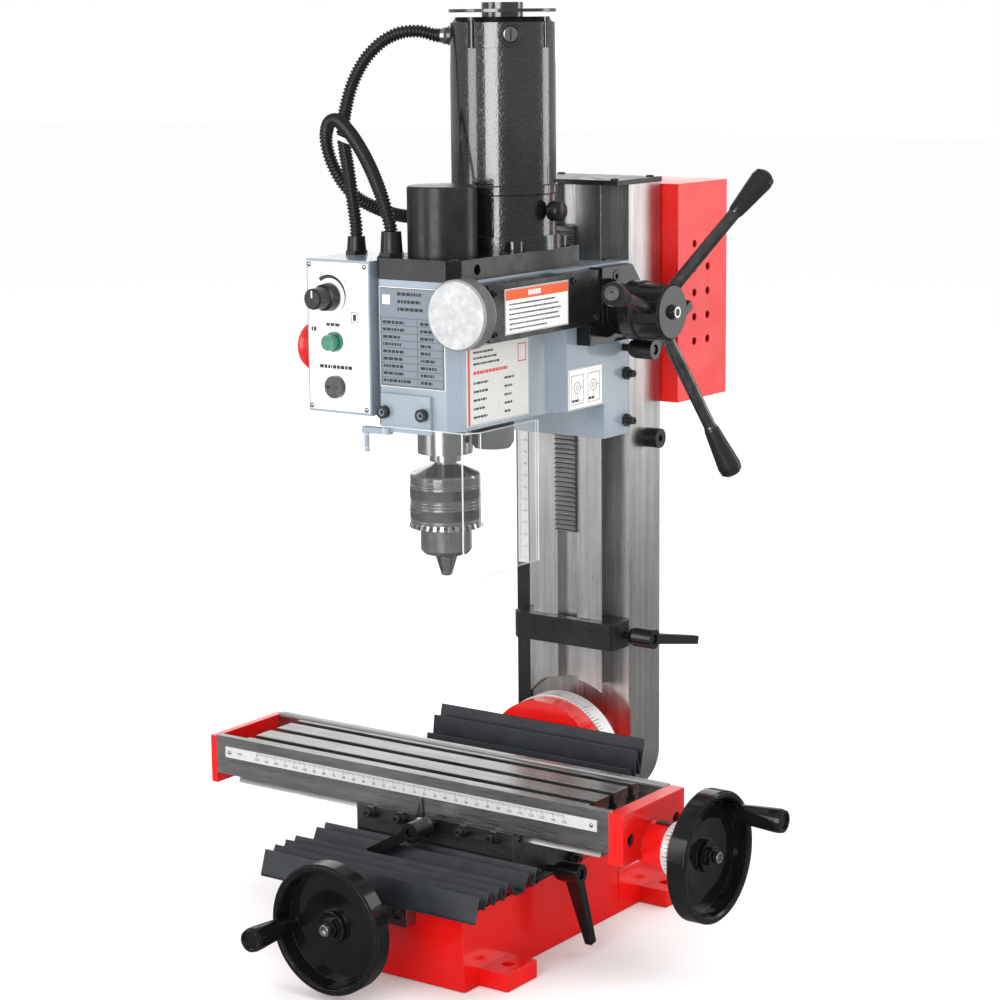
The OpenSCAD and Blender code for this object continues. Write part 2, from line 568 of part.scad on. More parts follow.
module panel_fittings() {
    // pilot lamp
    color("seagreen") translate([-72.5, box_y0, 474.8]) rotate([90, 0, 0]) {
        translate([0, 0, -4]) cylinder(r = 5, h = 5.2);
        translate([0, 0, 1.2]) cylinder(r = 7.5, h = 3);
        translate([0, 0, 4.2]) cylinder(r = 6, h = 7);
    }
    // fuse holder
    color("black") translate([-72, box_y0, 440.3]) rotate([90, 0, 0]) {
        translate([0, 0, -4]) cylinder(r = 6, h = 5.2);
        difference() {
            translate([0, 0, 1.2]) cylinder(r = 8.5, h = 4.5);
            translate([-6, -0.8, 4.5]) cube([12, 1.6, 2]);
        }
    }
    // collar of the emergency stop
    color("gold") difference() {
        union() {
            x_rod(9, box_x0 - 1, box_x0 + 14, -74, 466);
            x_rod(17, box_x0 - 5, box_x0, -74, 466);
        }
        x_rod(6 + run, box_x0 - 10, box_x0 + 15, -74, 466);
    }
}
module feed_cover() color("black") difference() {
    union() {
        block(head_half + 0.2, 60, -90, 16, 480, head_top - 2);
        block(wide_half + 0.2, 60, 15, 59.8, 480, head_top - 2);
    }
    block(head_half, 57.5, -86, 14, 483, head_top - 5);
    block(wide_half, 57.5, 13, 57, 483, head_top - 5);
    y_rod(4 + run, -92, -80, feed_x, feed_z);
    y_rod(4 + run, 50, 70, feed_x, feed_z);
    y_rod(6, 10, 20, feed_x, feed_z);
}
module feed_bracket() color("black") {
    difference() {
        union() {
            along_x(wide_half + 0.2, 62) polygon([[60, head_top - 1], [103, head_top - 1], [119, 505], [119, 476],
                [110, 464], [42, 464], [42, 479.8], [60, 479.8]]);
            x_rod(20, 61, 72, pinion_y, pinion_z);
        }
        x_rod(8 + run, wide_half - 1, 80, pinion_y, pinion_z);
        y_rod(4 + run, 59, 72, feed_x, feed_z);
        x_rod(3, wide_half - 1, 70, 110, 472);
        for (q = [[80, 515], [97, 471.5]]) x_rod(5, 58, 70, q[0], q[1]);
    }
    for (q = [[80, 515], [97, 471.5]]) translate([58, q[0], q[1]]) rotate([0, 90, 0]) socket_screw(4.8, 4.5, 0, 0);
}
// A hose gland about +Z from z = 0: nut, body and collar
module gland(r, h) {
    cylinder(r = r + 1.5, h = 3, $fn = 6);
    translate([0, 0, 3]) cylinder(r1 = r, r2 = r * 0.88, h = h - 3);
}
module hose_glands() color("black") {
    translate([-86, -60, box_z1]) gland(7.5, 14);
    translate([-29, -90, plate_top]) gland(8.5, 18.8);
    translate([-motor_r - 0.1, 6, 702]) rotate([0, -90, 0]) gland(6, 9.4);
}
module motor_hose() color("black") tube(motor_route, hose_d / 2);
module supply_hose() color("black") tube(supply_route, hose_d / 2);
module guard_bracket() color("lightsteelblue") difference() {
    union() {
        block(-28.7, 17.3, head_front - 3, head_front, 410, 439);
        block(-45, -28, head_front - 6, head_front - 1, 408, 412.5);
        block(-29, -20, head_front - 6, head_front, 408, 412.5);
        z_rod(2, 393.5, 410, -42, head_front - 4);
                for (x = [-25, 11]) translate([x, head_front - 3, 425]) rotate([90, 0, 0]) cylinder(r = 4.2, h = 4.5);
    }
    for (x = [-25, 11]) translate([x, head_front - 9, 425]) rotate([-90, 0, 0]) cylinder(r = 2, h = 3, $fn = 6);
}
module chuck_guard() color("white", 0.3) {
    difference() {
        z_rod(4.5, 396.6, 407.4, -42, head_front - 4);
        z_rod(2 + run, 395, 409, -42, head_front - 4);
        block(-60, -30, -200, head_front - 6.5, 390, 420);
    }
    // the sheet is cut lower beside its hinge
    difference() {
        translate([0, 0, 306]) linear_extrude(109) polygon([[-40, -112], [50, -112], [59, -101], [59, -26],
            [56.8, -26], [56.8, -100], [49, -109.8], [-40, -109.8]]);
        block(-41, -24, -113, -109, 407, 416);
    }
    block(-46, -38, -112, -109.8, 306, 407);
}
module data_plates() color("white") {
    block(-30.4, 29.8, head_front - 0.7, head_front, 444, 519);
    block(head_half, head_half + 0.7, -90.5, -9.7, 416, 476);
    block(60, 60.7, -70, 14, 484, 518);
    block(wide_half, wide_half + 0.7, 29.5, 78, 413.5, 446);
}

// ---------- spindle drive ----------
module spindle() color("silver") {
    difference() {
        union() {
            z_rod(21, 390.5, 439.5, 0, -spindle_y);
            z_rod(15, 439.5, gear_z0 + 26, 0, -spindle_y);
            translate([0, -spindle_y, gear_z0]) rotate([0, 0, 90]) gear(gear_module, spindle_teeth, 14);
        }
        z_rod(6, 388, 530, 0, -spindle_y);
        x_rod(3, 14, 22, -spindle_y, 402);
    }
    z_rod(12, 384.2, 390.5, 0, -spindle_y);
    // draw bar
    z_rod(5.5, 390.5, 548, 0, -spindle_y);
    translate([0, -spindle_y, 548]) cylinder(r = 8, h = 9, $fn = 6);
}
module drill_chuck() color("silver") {
    translate([0, -spindle_y, 0]) rotate_extrude() polygon([[0, 331.8], [19.5, 331.8], [21, 334], [chuck_r - 3, 334],
        [chuck_r, 337], [chuck_r, 340.5], [chuck_r + 0.4, 341], [chuck_r + 0.4, 349], [chuck_r, 349.5],
        [chuck_r, 356], [chuck_r + 0.4, 356.5], [chuck_r + 0.4, 364.5], [chuck_r, 365], [chuck_r, 373],
        [chuck_r - 1, 374.6], [13, 380.5], [8.5, 382], [8.5, 384.2], [0, 384.2]]);
    translate([0, -spindle_y, 0]) rotate_extrude() polygon([[7, 331.8], [19.5, 331.8], [19.5, 315.5], [17, 312.7],
        [9, 310.4], [7, 310.4]]);
    // three jaws
    for (a = [90, 210, 330]) translate([0, -spindle_y, 0]) rotate([0, 0, a]) intersection() {
        rotate_extrude() polygon([[0.8, 331.8], [6.8, 331.8], [6.8, 310.4], [8.5, 310], [4.2, 296], [3.6, 295], [0.8, 295]]);
        rotate([0, 0, -56]) block(0, 12, 0, 12, 290, 340);
    }
}
module motor_rotor() color("dimgray") translate([0, motor_y, 0]) {
    z_rod(7, gear_z0 + 16, 719, 0, 0);
    z_rod(26, 575, 680, 0, 0);
    z_rod(5, gear_z0 + 1, gear_z0 + 16, 0, 0);
    // a tooth points at the idler
    translate([0, 0, gear_z0 + 1]) gear(gear_module, motor_teeth, 14, -90);
}
module idler_gear() color("dimgray") translate([0, idler_y, 0]) {
    z_rod(6 - run, 462, gear_z0 - 2, 0, 0);
    z_rod(9, gear_z0 - 2, gear_z0, 0, 0);
    // a gap faces the spindle gear
    translate([0, 0, gear_z0]) gear(gear_module, idler_teeth, 15, 90 + 180 / idler_teeth);
}

// ---------- feed ----------
module capstan_hub() color("dimgray") translate([0, pinion_y, pinion_z]) {
    rotate([0, 90, 0]) {
        translate([0, 0, -9]) linear_extrude(18) polygon(gear_points(rack_module, pinion_teeth, 90));
        cylinder(r = 8, h = 74);
        translate([0, 0, 72.2]) difference() {
            union() {
                rotate_extrude() polygon([[0, 0], [22.5, 0], [23.5, 1.5], [23.5, 12], [22, 14], [22, 36.5], [20.5, 38], [0, 38]]);
                translate([0, 0, 38]) cylinder(r = 6, h = 1.6);
            }
            for (a = [138, 258, 18]) rotate([0, 0, a]) translate([10, 0, 24]) rotate([0, 71, 0]) cylinder(r = 5, h = 40);
        }
    }
}
module capstan_arms() color("dimgray") translate([72.2, pinion_y, pinion_z]) rotate([0, 90, 0])
    for (a = [138, 258, 18]) rotate([0, 0, a]) translate([10, 0, 24]) rotate([0, 71, 0]) {
        cylinder(r = 5, h = 92);
        translate([0, 0, 92]) rotate_extrude() polygon([[0, 0], [5, 0], [6.2, 4], [9.4, 36], [8.6, 41], [5.5, 43.5], [0, 44]]);
    }
module fine_feed_knob() color("lightgray") {
    y_rod(4, -108, 66, feed_x, feed_z);
    translate([feed_x, -94, feed_z]) rotate([90, 0, 0]) rotate_extrude()
        polygon([[0, 0], [9, 0], [10, 8], [25.3, 11], [26.3, 12.5], [26.3, 25], [24.8, 26.5], [0, 26.5]]);
    y_rod(5, 30, 52, feed_x, feed_z);
}
module head_lock_lever() color("black") translate([wide_half, 110, 455]) rotate([0, 90, 0]) {
    translate([0, 0, -14]) cylinder(r = 3 - run, h = 15);
    rotate([0, 0, 122]) clamp_lever(60, 4);
}
module speed_knob() color("black") translate([-76.8, box_y0, 508.7]) rotate([90, 0, 0]) {
    translate([0, 0, -6]) cylinder(r = 3, h = 8);
    translate([0, 0, 1.7]) rotate_extrude() polygon([[0, 0], [10.2, 0], [10.7, 1], [10, 8], [8.4, 9], [8, 20.5], [7, 21.5], [0, 21.5]]);
}
module stop_button() color("red") {
    x_rod(6, box_x0 - 12, box_x0 + 9, -74, 466);
    translate([box_x0 - 9.4, -74, 466]) rotate([0, -90, 0]) rotate_extrude()
        polygon([[0, 0], [12, 0], [17, 1.5], [19.5, 5], [19.5, 8], [17, 12], [10, 14.3], [0, 15]]);
}

base_casting();
y_bearing_plate();
tilt_scale();
tilt_bolt();
front_bellows();
rear_bellows();
saddle();
saddle_gibs();
pointer();
feed_nuts();
x_lock_lever();
y_lock_lever();
table();
table_end_plate();
x_bracket();
x_scale();
table_screws();
x_leadscrew();
x_dial();
x_handwheel();
x_handle();
y_leadscrew();
y_dial();
y_handwheel();
y_handle();
column();
column_cap();
rack();
z_scale();
electrics_box();
column_screw();
depth_stop();
stop_lever();
head_casting();
head_gib();
top_plate();
spindle_cap();
motor_body();
motor_end_cap();
control_box();
control_panel();
panel_fittings();
feed_cover();
feed_bracket();
hose_glands();
motor_hose();
supply_hose();
guard_bracket();
data_plates();
chuck_guard();
spindle();
drill_chuck();
motor_rotor();
idler_gear();
capstan_hub();
capstan_arms();
fine_feed_knob();
head_lock_lever();
speed_knob();
stop_button();
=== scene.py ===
"""The benchtop milling machine: camera and light, its finishes, and the parts that the solids leave out."""
import math
import random

import bmesh
import bpy
from mathutils import Matrix, Vector


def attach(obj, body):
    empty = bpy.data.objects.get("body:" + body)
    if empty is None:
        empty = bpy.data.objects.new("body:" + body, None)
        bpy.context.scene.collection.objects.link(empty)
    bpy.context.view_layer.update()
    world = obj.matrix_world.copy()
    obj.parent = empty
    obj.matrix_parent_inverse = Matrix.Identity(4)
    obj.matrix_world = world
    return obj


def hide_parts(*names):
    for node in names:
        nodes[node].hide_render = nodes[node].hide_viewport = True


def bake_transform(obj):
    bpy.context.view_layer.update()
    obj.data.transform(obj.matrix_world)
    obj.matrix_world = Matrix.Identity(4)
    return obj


MM = 0.001
WELD = 0.01 * MM
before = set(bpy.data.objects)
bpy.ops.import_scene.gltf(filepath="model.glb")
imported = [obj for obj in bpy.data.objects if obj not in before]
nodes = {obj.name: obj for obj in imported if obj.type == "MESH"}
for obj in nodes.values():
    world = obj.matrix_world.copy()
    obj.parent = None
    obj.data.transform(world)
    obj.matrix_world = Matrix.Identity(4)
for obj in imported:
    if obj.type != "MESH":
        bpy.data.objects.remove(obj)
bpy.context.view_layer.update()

# places on the machine, in mm
SPINDLE_AXIS = (0, -65, 0)
MOTOR_AXIS = (0, 16, 0)
X_SCREW_AXIS = (0, -43.2, 104)
Y_SCREW_AXIS = (0, 0, 55.5)
TILT_AXIS = (0, 0, 112)
CAPSTAN_AXIS = (0, 86.25, 489)
BRUSH_HEIGHT = 703
TABLE_SCALE_FACE = -87.2
COLUMN_SCALE_FACE = 118.6
PANEL_CORNER = (-100, -105.2, 420)
WHEEL_END_SCREW = 228.5


def metres(values):
    return tuple(v * MM for v in values)


def placed(name, data):
    """A new object in the scene."""
    made = bpy.data.objects.new(name, data)
    bpy.context.scene.collection.objects.link(made)
    return made


# ---------- camera ----------
camera = placed("camera", bpy.data.cameras.new("camera"))
bpy.context.scene.camera = camera
camera.data.sensor_width = 36.0
camera.data.lens = 93.632
camera.data.clip_start = 0.05
camera.data.clip_end = 30.0
right = Vector((0.81763334, 0.57566094, -0.00949718))
up = Vector((-0.09772832, 0.15502575, 0.98306469))
ahead = Vector((-0.56738425, 0.80285833, -0.1830126))
camera.matrix_world = Matrix((
    (right.x, up.x, -ahead.x, 1.16167),
    (right.y, up.y, -ahead.y, -1.63711),
    (right.z, up.z, -ahead.z, 0.71671),
    (0, 0, 0, 1),
))


# ---------- shader tools ----------
class Finish:
    """One procedural material, with short names for the nodes it is built from."""

    def __init__(self, name, colour, metallic, roughness, **sockets):
        self.material = bpy.data.materials.new(name)
        self.material.use_nodes = True
        self.tree = self.material.node_tree
        self.shader = self.tree.nodes["Principled BSDF"]
        self.shader.inputs["Base Color"].default_value = (*colour, 1)
        self.shader.inputs["Metallic"].default_value = metallic
        self.shader.inputs["Roughness"].default_value = roughness
        for key, value in sockets.items():
            self.shader.inputs[key.replace("_", " ").title().replace("Ior", "IOR")].default_value = value
        self.place = self.tree.nodes.new("ShaderNodeTexCoord").outputs["Object"]

    def node(self, kind, **settings):
        made = self.tree.nodes.new(kind)
        for key, value in settings.items():
            setattr(made, key, value)
        return made

    def put(self, socket, value):
        if hasattr(value, "is_output") or hasattr(value, "links"):
            self.tree.links.new(value, socket)
        elif isinstance(value, (tuple, list)) and len(value) == 3 and socket.type == "RGBA":
            socket.default_value = (*value, 1)
        else:
            socket.default_value = value

    def sum(self, operation, *values, clamp=False):
        made = self.node("ShaderNodeMath", operation=operation, use_clamp=clamp)
        for socket, value in zip(made.inputs, values):
            self.put(socket, value)
        return made.outputs[0]

    def times(self, one, other):
        return self.sum("MULTIPLY", one, other)

    def moved(self, shift=(0, 0, 0), turn=(0, 0, 0), scale=(1, 1, 1)):
        made = self.node("ShaderNodeMapping")
        self.put(made.inputs["Vector"], self.place)
        made.inputs["Location"].default_value = shift
        made.inputs["Rotation"].default_value = turn
        made.inputs["Scale"].default_value = scale
        return made.outputs[0]

    def axes(self, vector=None):
        made = self.node("ShaderNodeSeparateXYZ")
        self.put(made.inputs[0], self.place if vector is None else vector)
        return made.outputs

    def noise(self, size, detail=3.0, vector=None, roughness=0.55):
        made = self.node("ShaderNodeTexNoise")
        self.put(made.inputs["Vector"], self.place if vector is None else vector)
        made.inputs["Scale"].default_value = 1 / size
        made.inputs["Detail"].default_value = detail
        made.inputs["Roughness"].default_value = roughness
        return made.outputs["Fac"]

    def cells(self, size):
        made = self.node("ShaderNodeTexVoronoi", feature="SMOOTH_F1")
        self.put(made.inputs["Vector"], self.place)
        made.inputs["Scale"].default_value = 1 / size
        return made.outputs["Distance"]

    def spread(self, value, low, high, to_low=0.0, to_high=1.0):
        made = self.node("ShaderNodeMapRange")
        for socket, number in zip(made.inputs, (value, low, high, to_low, to_high)):
            self.put(socket, number)
        return made.outputs[0]

    def uneven(self, size, detail, to_low=0.0, to_high=1.0):
        return self.spread(self.noise(size, detail), 0.3, 0.7, to_low, to_high)

    def mix(self, share, one, other):
        made = self.node("ShaderNodeMix", data_type="RGBA")
        self.put(made.inputs["Factor"], share)
        self.put(made.inputs[6], one)
        self.put(made.inputs[7], other)
        return made.outputs[2]

    def edges(self, width=0.0006):
        """A rounded-edge normal, and how far it leans away from the flat face."""
        rounded = self.node("ShaderNodeBevel", samples=4)
        rounded.inputs["Radius"].default_value = width
        flat = self.node("ShaderNodeNewGeometry").outputs["Normal"]
        dot = self.node("ShaderNodeVectorMath", operation="DOT_PRODUCT")
        self.tree.links.new(rounded.outputs[0], dot.inputs[0])
        self.tree.links.new(flat, dot.inputs[1])
        lean = self.spread(dot.outputs["Value"], 0.995, 0.86)
        return rounded.outputs[0], lean

    def relief(self, height, depth, normal=None, strength=1.0):
        made = self.node("ShaderNodeBump")
        made.inputs["Strength"].default_value = strength
        made.inputs["Distance"].default_value = depth
        self.put(made.inputs["Height"], height)
        if normal is not None:
            self.tree.links.new(normal, made.inputs["Normal"])
        return made.outputs[0]

    def use(self, **sockets):
        for key, value in sockets.items():
            self.put(self.shader.inputs[key.replace("_", " ").title()], value)
        return self.material


def scaled(colour, by):
    return tuple(min(1, c * by) for c in colour)


def enamel(name, colour, gloss=0.22, peel=0.00012, chips=0.35, chip_colour=(0.30, 0.29, 0.28), coat=0.6):
    """Sprayed enamel over a casting: soft orange peel, small shade changes, rubbed edges."""
    f = Finish(name, colour, 0.0, gloss, coat_weight=coat, coat_roughness=0.12)
    rounded, lean = f.edges(0.0009)
    broad = f.noise(0.09, 2)
    fine = f.noise(0.0022, 2)
    shade = f.mix(f.spread(broad, 0.3, 0.7), scaled(colour, 0.86), scaled(colour, 1.08))
    broken = f.spread(f.noise(0.006, 5), 0.56, 0.66)
    rub = f.times(f.times(lean, broken), chips)
    waves = f.sum("ADD", fine, f.times(f.noise(0.012, 2), 1.6))
    return f.use(base_color=f.mix(rub, shade, chip_colour),
                 roughness=f.spread(f.noise(0.03, 4), 0.3, 0.75, gloss * 0.8, gloss * 1.45),
                 normal=f.relief(waves, peel, rounded, 0.5))


def ground(name, colour, along, roughness=0.28, depth=0.00003, dirt=0.25):
    """Ground or milled metal with fine marks running along one direction, given as a stretch per axis."""
    f = Finish(name, colour, 1.0, roughness)
    rounded, lean = f.edges(0.0005)
    marks = f.noise(0.0009, 3, f.moved(scale=along), 0.7)
    long_marks = f.noise(0.006, 2, f.moved(scale=along))
    cloud = f.noise(0.05, 4)
    bright = scaled(colour, 1.12)
    dull = scaled(colour, 1 - dirt)
    tone = f.mix(f.spread(f.sum("ADD", f.times(long_marks, 0.6), f.times(cloud, 0.4)), 0.35, 0.65),
                 dull, bright)
    tone = f.mix(f.times(lean, 0.5), tone, (0.82, 0.82, 0.80))
    return f.use(base_color=tone, roughness=f.spread(marks, 0.25, 0.75, roughness * 0.75, roughness * 1.5),
                 normal=f.relief(marks, depth, rounded, 0.6))


def turned(name, colour, roughness=0.22, depth=0.00002):
    """Lathe-turned metal, with fine even noise and bright corners."""
    f = Finish(name, colour, 1.0, roughness)
    rounded, lean = f.edges(0.0004)
    marks = f.noise(0.0006, 2)
    tone = f.mix(f.uneven(0.02, 4), scaled(colour, 0.82), colour)
    return f.use(base_color=f.mix(f.times(lean, 0.6), tone, (0.85, 0.85, 0.83)),
                 roughness=f.uneven(0.008, 3, roughness * 0.8, roughness * 1.4),
                 normal=f.relief(marks, depth, rounded, 0.5))


def blackened(name, colour=(0.010, 0.010, 0.011), roughness=0.30, wear=0.5):
    """Black oxide or satin black enamel, with grey rubbed corners and faint oil marks."""
    f = Finish(name, colour, 0.0, roughness, specular_ior_level=0.4)
    rounded, lean = f.edges(0.0006)
    broken = f.spread(f.noise(0.004, 5), 0.48, 0.62)
    tone = f.mix(f.spread(f.noise(0.03, 3), 0.35, 0.7), colour, scaled(colour, 1.7))
    rub = f.times(f.times(lean, broken), wear)
    return f.use(base_color=f.mix(rub, tone, (0.33, 0.33, 0.33)),
                 roughness=f.spread(f.noise(0.012, 4), 0.3, 0.75, roughness * 0.75, roughness * 1.4),
                 normal=f.relief(f.noise(0.0012, 2), 0.00005, rounded, 0.5))


def hammered(name):
    """Black hammered enamel: shallow round dimples under a hard gloss."""
    f = Finish(name, (0.006, 0.006, 0.007), 0.0, 0.16, coat_weight=1.0, coat_roughness=0.07, coat_ior=1.75,
               specular_ior_level=0.8)
    rounded = f.edges(0.0008)[0]
    dimples = f.spread(f.cells(0.0015), 0.1, 0.75)
    tone = f.mix(dimples, (0.004, 0.004, 0.0045), (0.012, 0.012, 0.013))
    return f.use(base_color=tone, roughness=f.uneven(0.01, 3, 0.12, 0.22),
                 normal=f.relief(dimples, 0.00018, rounded, 0.7))


def moulded(name, colour, roughness=0.3, grain=0.00003, gloss=0.0, **sockets):
    """Moulded plastic: faint grain, a little unevenness in gloss."""
    f = Finish(name, colour, 0.0, roughness, coat_weight=gloss, **sockets)
    rounded, lean = f.edges(0.0005)
    tone = f.mix(f.uneven(0.02, 3), scaled(colour, 0.85),
                 scaled(colour, 1.1))
    tone = f.mix(f.times(lean, 0.25), tone, tuple(min(1, c * 1.4 + 0.03) for c in colour))
    return f.use(base_color=tone, roughness=f.uneven(0.006, 4, roughness * 0.8, roughness * 1.3),
                 normal=f.relief(f.noise(0.0007, 2), grain, rounded, 0.5))


def printed(name, colour, roughness=0.35):
    """Flat ink or label stock, a little uneven."""
    f = Finish(name, colour, 0.0, roughness)
    tone = f.mix(f.spread(f.noise(0.004, 4), 0.35, 0.7), scaled(colour, 0.92), colour)
    return f.use(base_color=tone, roughness=f.uneven(0.002, 2, roughness * 0.85, roughness * 1.2))


def turn_of(f, centre, axis):
    """The angle round an axis through a centre, and the place along it, for a finish."""
    shift = tuple(-c * MM for c in centre)
    x, y, z = f.axes(f.moved(shift=shift))
    across = {"x": (y, z, x), "y": (x, z, y), "z": (x, y, z)}[axis]
    return f.sum("ARCTAN2", across[0], across[1]), across[2]


def graduated(name, centre, axis, band, count=40):
    """A satin dial with black divisions round its rim; band is where the lines start and end along the axis."""
    f = Finish(name, (0.74, 0.74, 0.72), 0.35, 0.34)
    rounded = f.edges(0.0004)[0]
    angle, along = turn_of(f, centre, axis)
    step = f.sum("FRACT", f.sum("ADD", f.times(angle, count / (2 * math.pi)), 0.5))
    line = f.sum("LESS_THAN", f.sum("ABSOLUTE", f.sum("SUBTRACT", step, 0.5)), 0.07)
    fifth = f.sum("FRACT", f.sum("ADD", f.times(angle, count / (10 * math.pi)), 0.5))
    long_line = f.sum("LESS_THAN", f.sum("ABSOLUTE", f.sum("SUBTRACT", fifth, 0.5)), 0.018)
    low, high = band
    reach = (high - low) * MM
    short = f.sum("LESS_THAN", f.sum("ABSOLUTE", f.sum("SUBTRACT", along, low * MM)), abs(reach) * 0.55)
    long_reach = f.sum("LESS_THAN", f.sum("ABSOLUTE", f.sum("SUBTRACT", along, low * MM)), abs(reach) * 0.9)
    ink = f.sum("MAXIMUM", f.times(line, short), f.times(long_line, long_reach))
    satin = f.mix(f.noise(0.004, 3), (0.66, 0.66, 0.64), (0.80, 0.80, 0.78))
    return f.use(base_color=f.mix(ink, satin, (0.02, 0.02, 0.02)), normal=rounded)


def knurled(name, colour, centre, axis, bands, count, metallic=1.0, roughness=0.26, depth=0.0004, shade=0.9):
    """Metal with a diamond or straight knurl round an axis, only inside the given bands along that axis."""
    f = Finish(name, colour, metallic, roughness)
    rounded = f.edges(0.0004)[0]
    angle, along = turn_of(f, centre, axis)
    turns = f.times(angle, float(count))
    climb = f.times(along, count / 0.027)
    one = f.sum("ABSOLUTE", f.sum("SINE", f.sum("ADD", turns, climb)))
    two = f.sum("ABSOLUTE", f.sum("SINE", f.sum("SUBTRACT", turns, climb)))
    diamonds = f.times(one, two)
    inside = None
    for low, high in bands:
        middle, half = (low + high) / 2 * MM, abs(high - low) / 2 * MM
        here = f.sum("LESS_THAN", f.sum("ABSOLUTE", f.sum("SUBTRACT", along, middle)), half)
        inside = here if inside is None else f.sum("MAXIMUM", inside, here)
    height = f.times(diamonds, inside)
    tone = f.mix(f.uneven(0.015, 4), scaled(colour, 0.8), colour)
    # painted shade: the knurled bands are darkened, as strongly as shade asks, and the grooves between the diamonds
    # darker still, in place of the shadow inside the knurl
    tone = f.mix(f.times(inside, shade), tone, scaled(colour, 0.16))
    grooves = f.sum("SUBTRACT", inside, height, clamp=True)
    tone = f.mix(f.times(grooves, 0.75), tone, scaled(colour, 0.2))
    return f.use(base_color=tone, roughness=f.uneven(0.006, 4, roughness * 0.75, roughness * 1.4),
                 normal=f.relief(height, depth, rounded, 0.8))


# ---------- the machine's finishes ----------
red_enamel = enamel("red enamel", (0.70, 0.006, 0.005), 0.18, coat=0.35)
red_sheet = enamel("red sheet enamel", (0.70, 0.008, 0.006), 0.26, 0.00006, 0.2, coat=0.2)
blue_grey = enamel("blue grey enamel", (0.235, 0.285, 0.335), 0.30, 0.00008, 0.3, (0.5, 0.52, 0.54))
table_iron = ground("ground table", (0.44, 0.44, 0.43), (0.04, 1.0, 1.0), 0.28)
column_iron = ground("ground column", (0.58, 0.575, 0.565), (1.0, 1.0, 0.035), 0.30)
# painted shade: the saddle's ground iron is much darker than the table's and column's, for the shade it sits in under
# the table
saddle_iron = ground("ground saddle", (0.17, 0.168, 0.165), (0.05, 1.0, 1.0), 0.34)
turned_steel = turned("turned steel", (0.58, 0.575, 0.56))
bright_steel = turned("bright steel", (0.56, 0.56, 0.545), 0.16)
rack_steel = turned("rack steel", (0.30, 0.295, 0.285), 0.34)
black_oxide = blackened("black oxide")
black_gloss = blackened("black gloss enamel", (0.004, 0.004, 0.0045), 0.09, 0.3)
black_lever = moulded("black lever enamel", (0.006, 0.006, 0.0065), 0.22, 0.00004, 0.2)
motor_black = hammered("hammered black")
soft_black = moulded("soft black plastic", (0.008, 0.008, 0.0085), 0.30)
hose_black = moulded("hose plastic", (0.010, 0.010, 0.011), 0.24, 0.00004)
label_stock = printed("label stock", (0.80, 0.80, 0.78))
black_ink = printed("black ink", (0.015, 0.015, 0.015))
grey_ink = printed("grey ink", (0.17, 0.20, 0.235), 0.42)
red_ink = printed("red ink", (0.60, 0.03, 0.02))
orange_ink = printed("orange ink", (0.72, 0.10, 0.02))
white_ink = printed("white ink", (0.82, 0.82, 0.80))
stop_red = moulded("stop button red", (0.62, 0.012, 0.008), 0.18, 0.00001, 0.5)
cable_tie = moulded("cable tie nylon", (0.78, 0.79, 0.77), 0.4)


def rubber_cloth():
    """Rubberised cloth of the way covers: a woven grain and scuffed fold lines."""
    f = Finish("rubberised cloth", (0.010, 0.013, 0.018), 0.0, 0.40)
    rounded, lean = f.edges(0.0008)
    x, y, z = f.axes()
    warp = f.sum("SINE", f.times(x, 5200.0))
    weft = f.sum("SINE", f.times(f.sum("ADD", y, z), 5200.0))
    weave = f.times(warp, weft)
    tone = f.mix(f.spread(f.noise(0.02, 4), 0.35, 0.7), (0.006, 0.008, 0.012), (0.016, 0.020, 0.027))
    tone = f.mix(f.times(lean, 0.5), tone, (0.07, 0.08, 0.10))
    return f.use(base_color=tone, roughness=f.uneven(0.01, 4, 0.32, 0.52),
                 normal=f.relief(weave, 0.00005, rounded, 0.5))


def clear_plastic():
    """Clear sheet: nearly invisible head on, brighter at its cut edges and where it turns away, where white opacity is
    painted in as reflection and glint.
    """
    f = Finish("clear guard sheet", (0.90, 0.94, 0.95), 0.0, 0.05)
    rounded, lean = f.edges(0.0012)
    facing = f.node("ShaderNodeLayerWeight")
    facing.inputs["Blend"].default_value = 0.25
    turned_away = f.spread(facing.outputs["Facing"], 0.1, 1.0, 0.014, 0.20)
    # painted reflection and glint: the white sheet grows more opaque where it turns away and at its edges
    painted_glint = f.sum("ADD", turned_away, f.times(lean, 0.75), clamp=True)
    scratches = f.spread(f.noise(0.002, 4, f.moved(turn=(0.5, 0.2, 0.9), scale=(0.08, 1, 1))), 0.62, 0.7)
    return f.use(alpha=f.sum("ADD", painted_glint, f.times(scratches, 0.05)),
                 roughness=f.uneven(0.02, 3, 0.03, 0.09),
                 normal=f.relief(scratches, 0.00002, rounded, 0.3))


def arms_with_tips():
    """Polished steel arms that end in black moulded grips."""
    f = Finish("feed arms", (0.5, 0.5, 0.49), 1.0, 0.18)
    rounded = f.edges(0.0004)[0]
    _, y, z = f.axes(f.moved(shift=tuple(-c * MM for c in CAPSTAN_AXIS)))
    radial = f.sum("SQRT", f.sum("ADD", f.times(y, y), f.times(z, z)))
    grip = f.sum("GREATER_THAN", radial, 0.0974)
    steel = f.mix(f.uneven(0.01, 4), (0.12, 0.12, 0.125), (0.24, 0.24, 0.245))
    return f.use(base_color=f.mix(grip, steel, (0.012, 0.012, 0.013)), metallic=f.sum("SUBTRACT", 1.0, grip),
                 roughness=f.spread(f.sum("ADD", f.noise(0.005, 3), f.times(grip, 0.25)),
                                    0.3, 1.0, 0.14, 0.42),
                 normal=rounded)


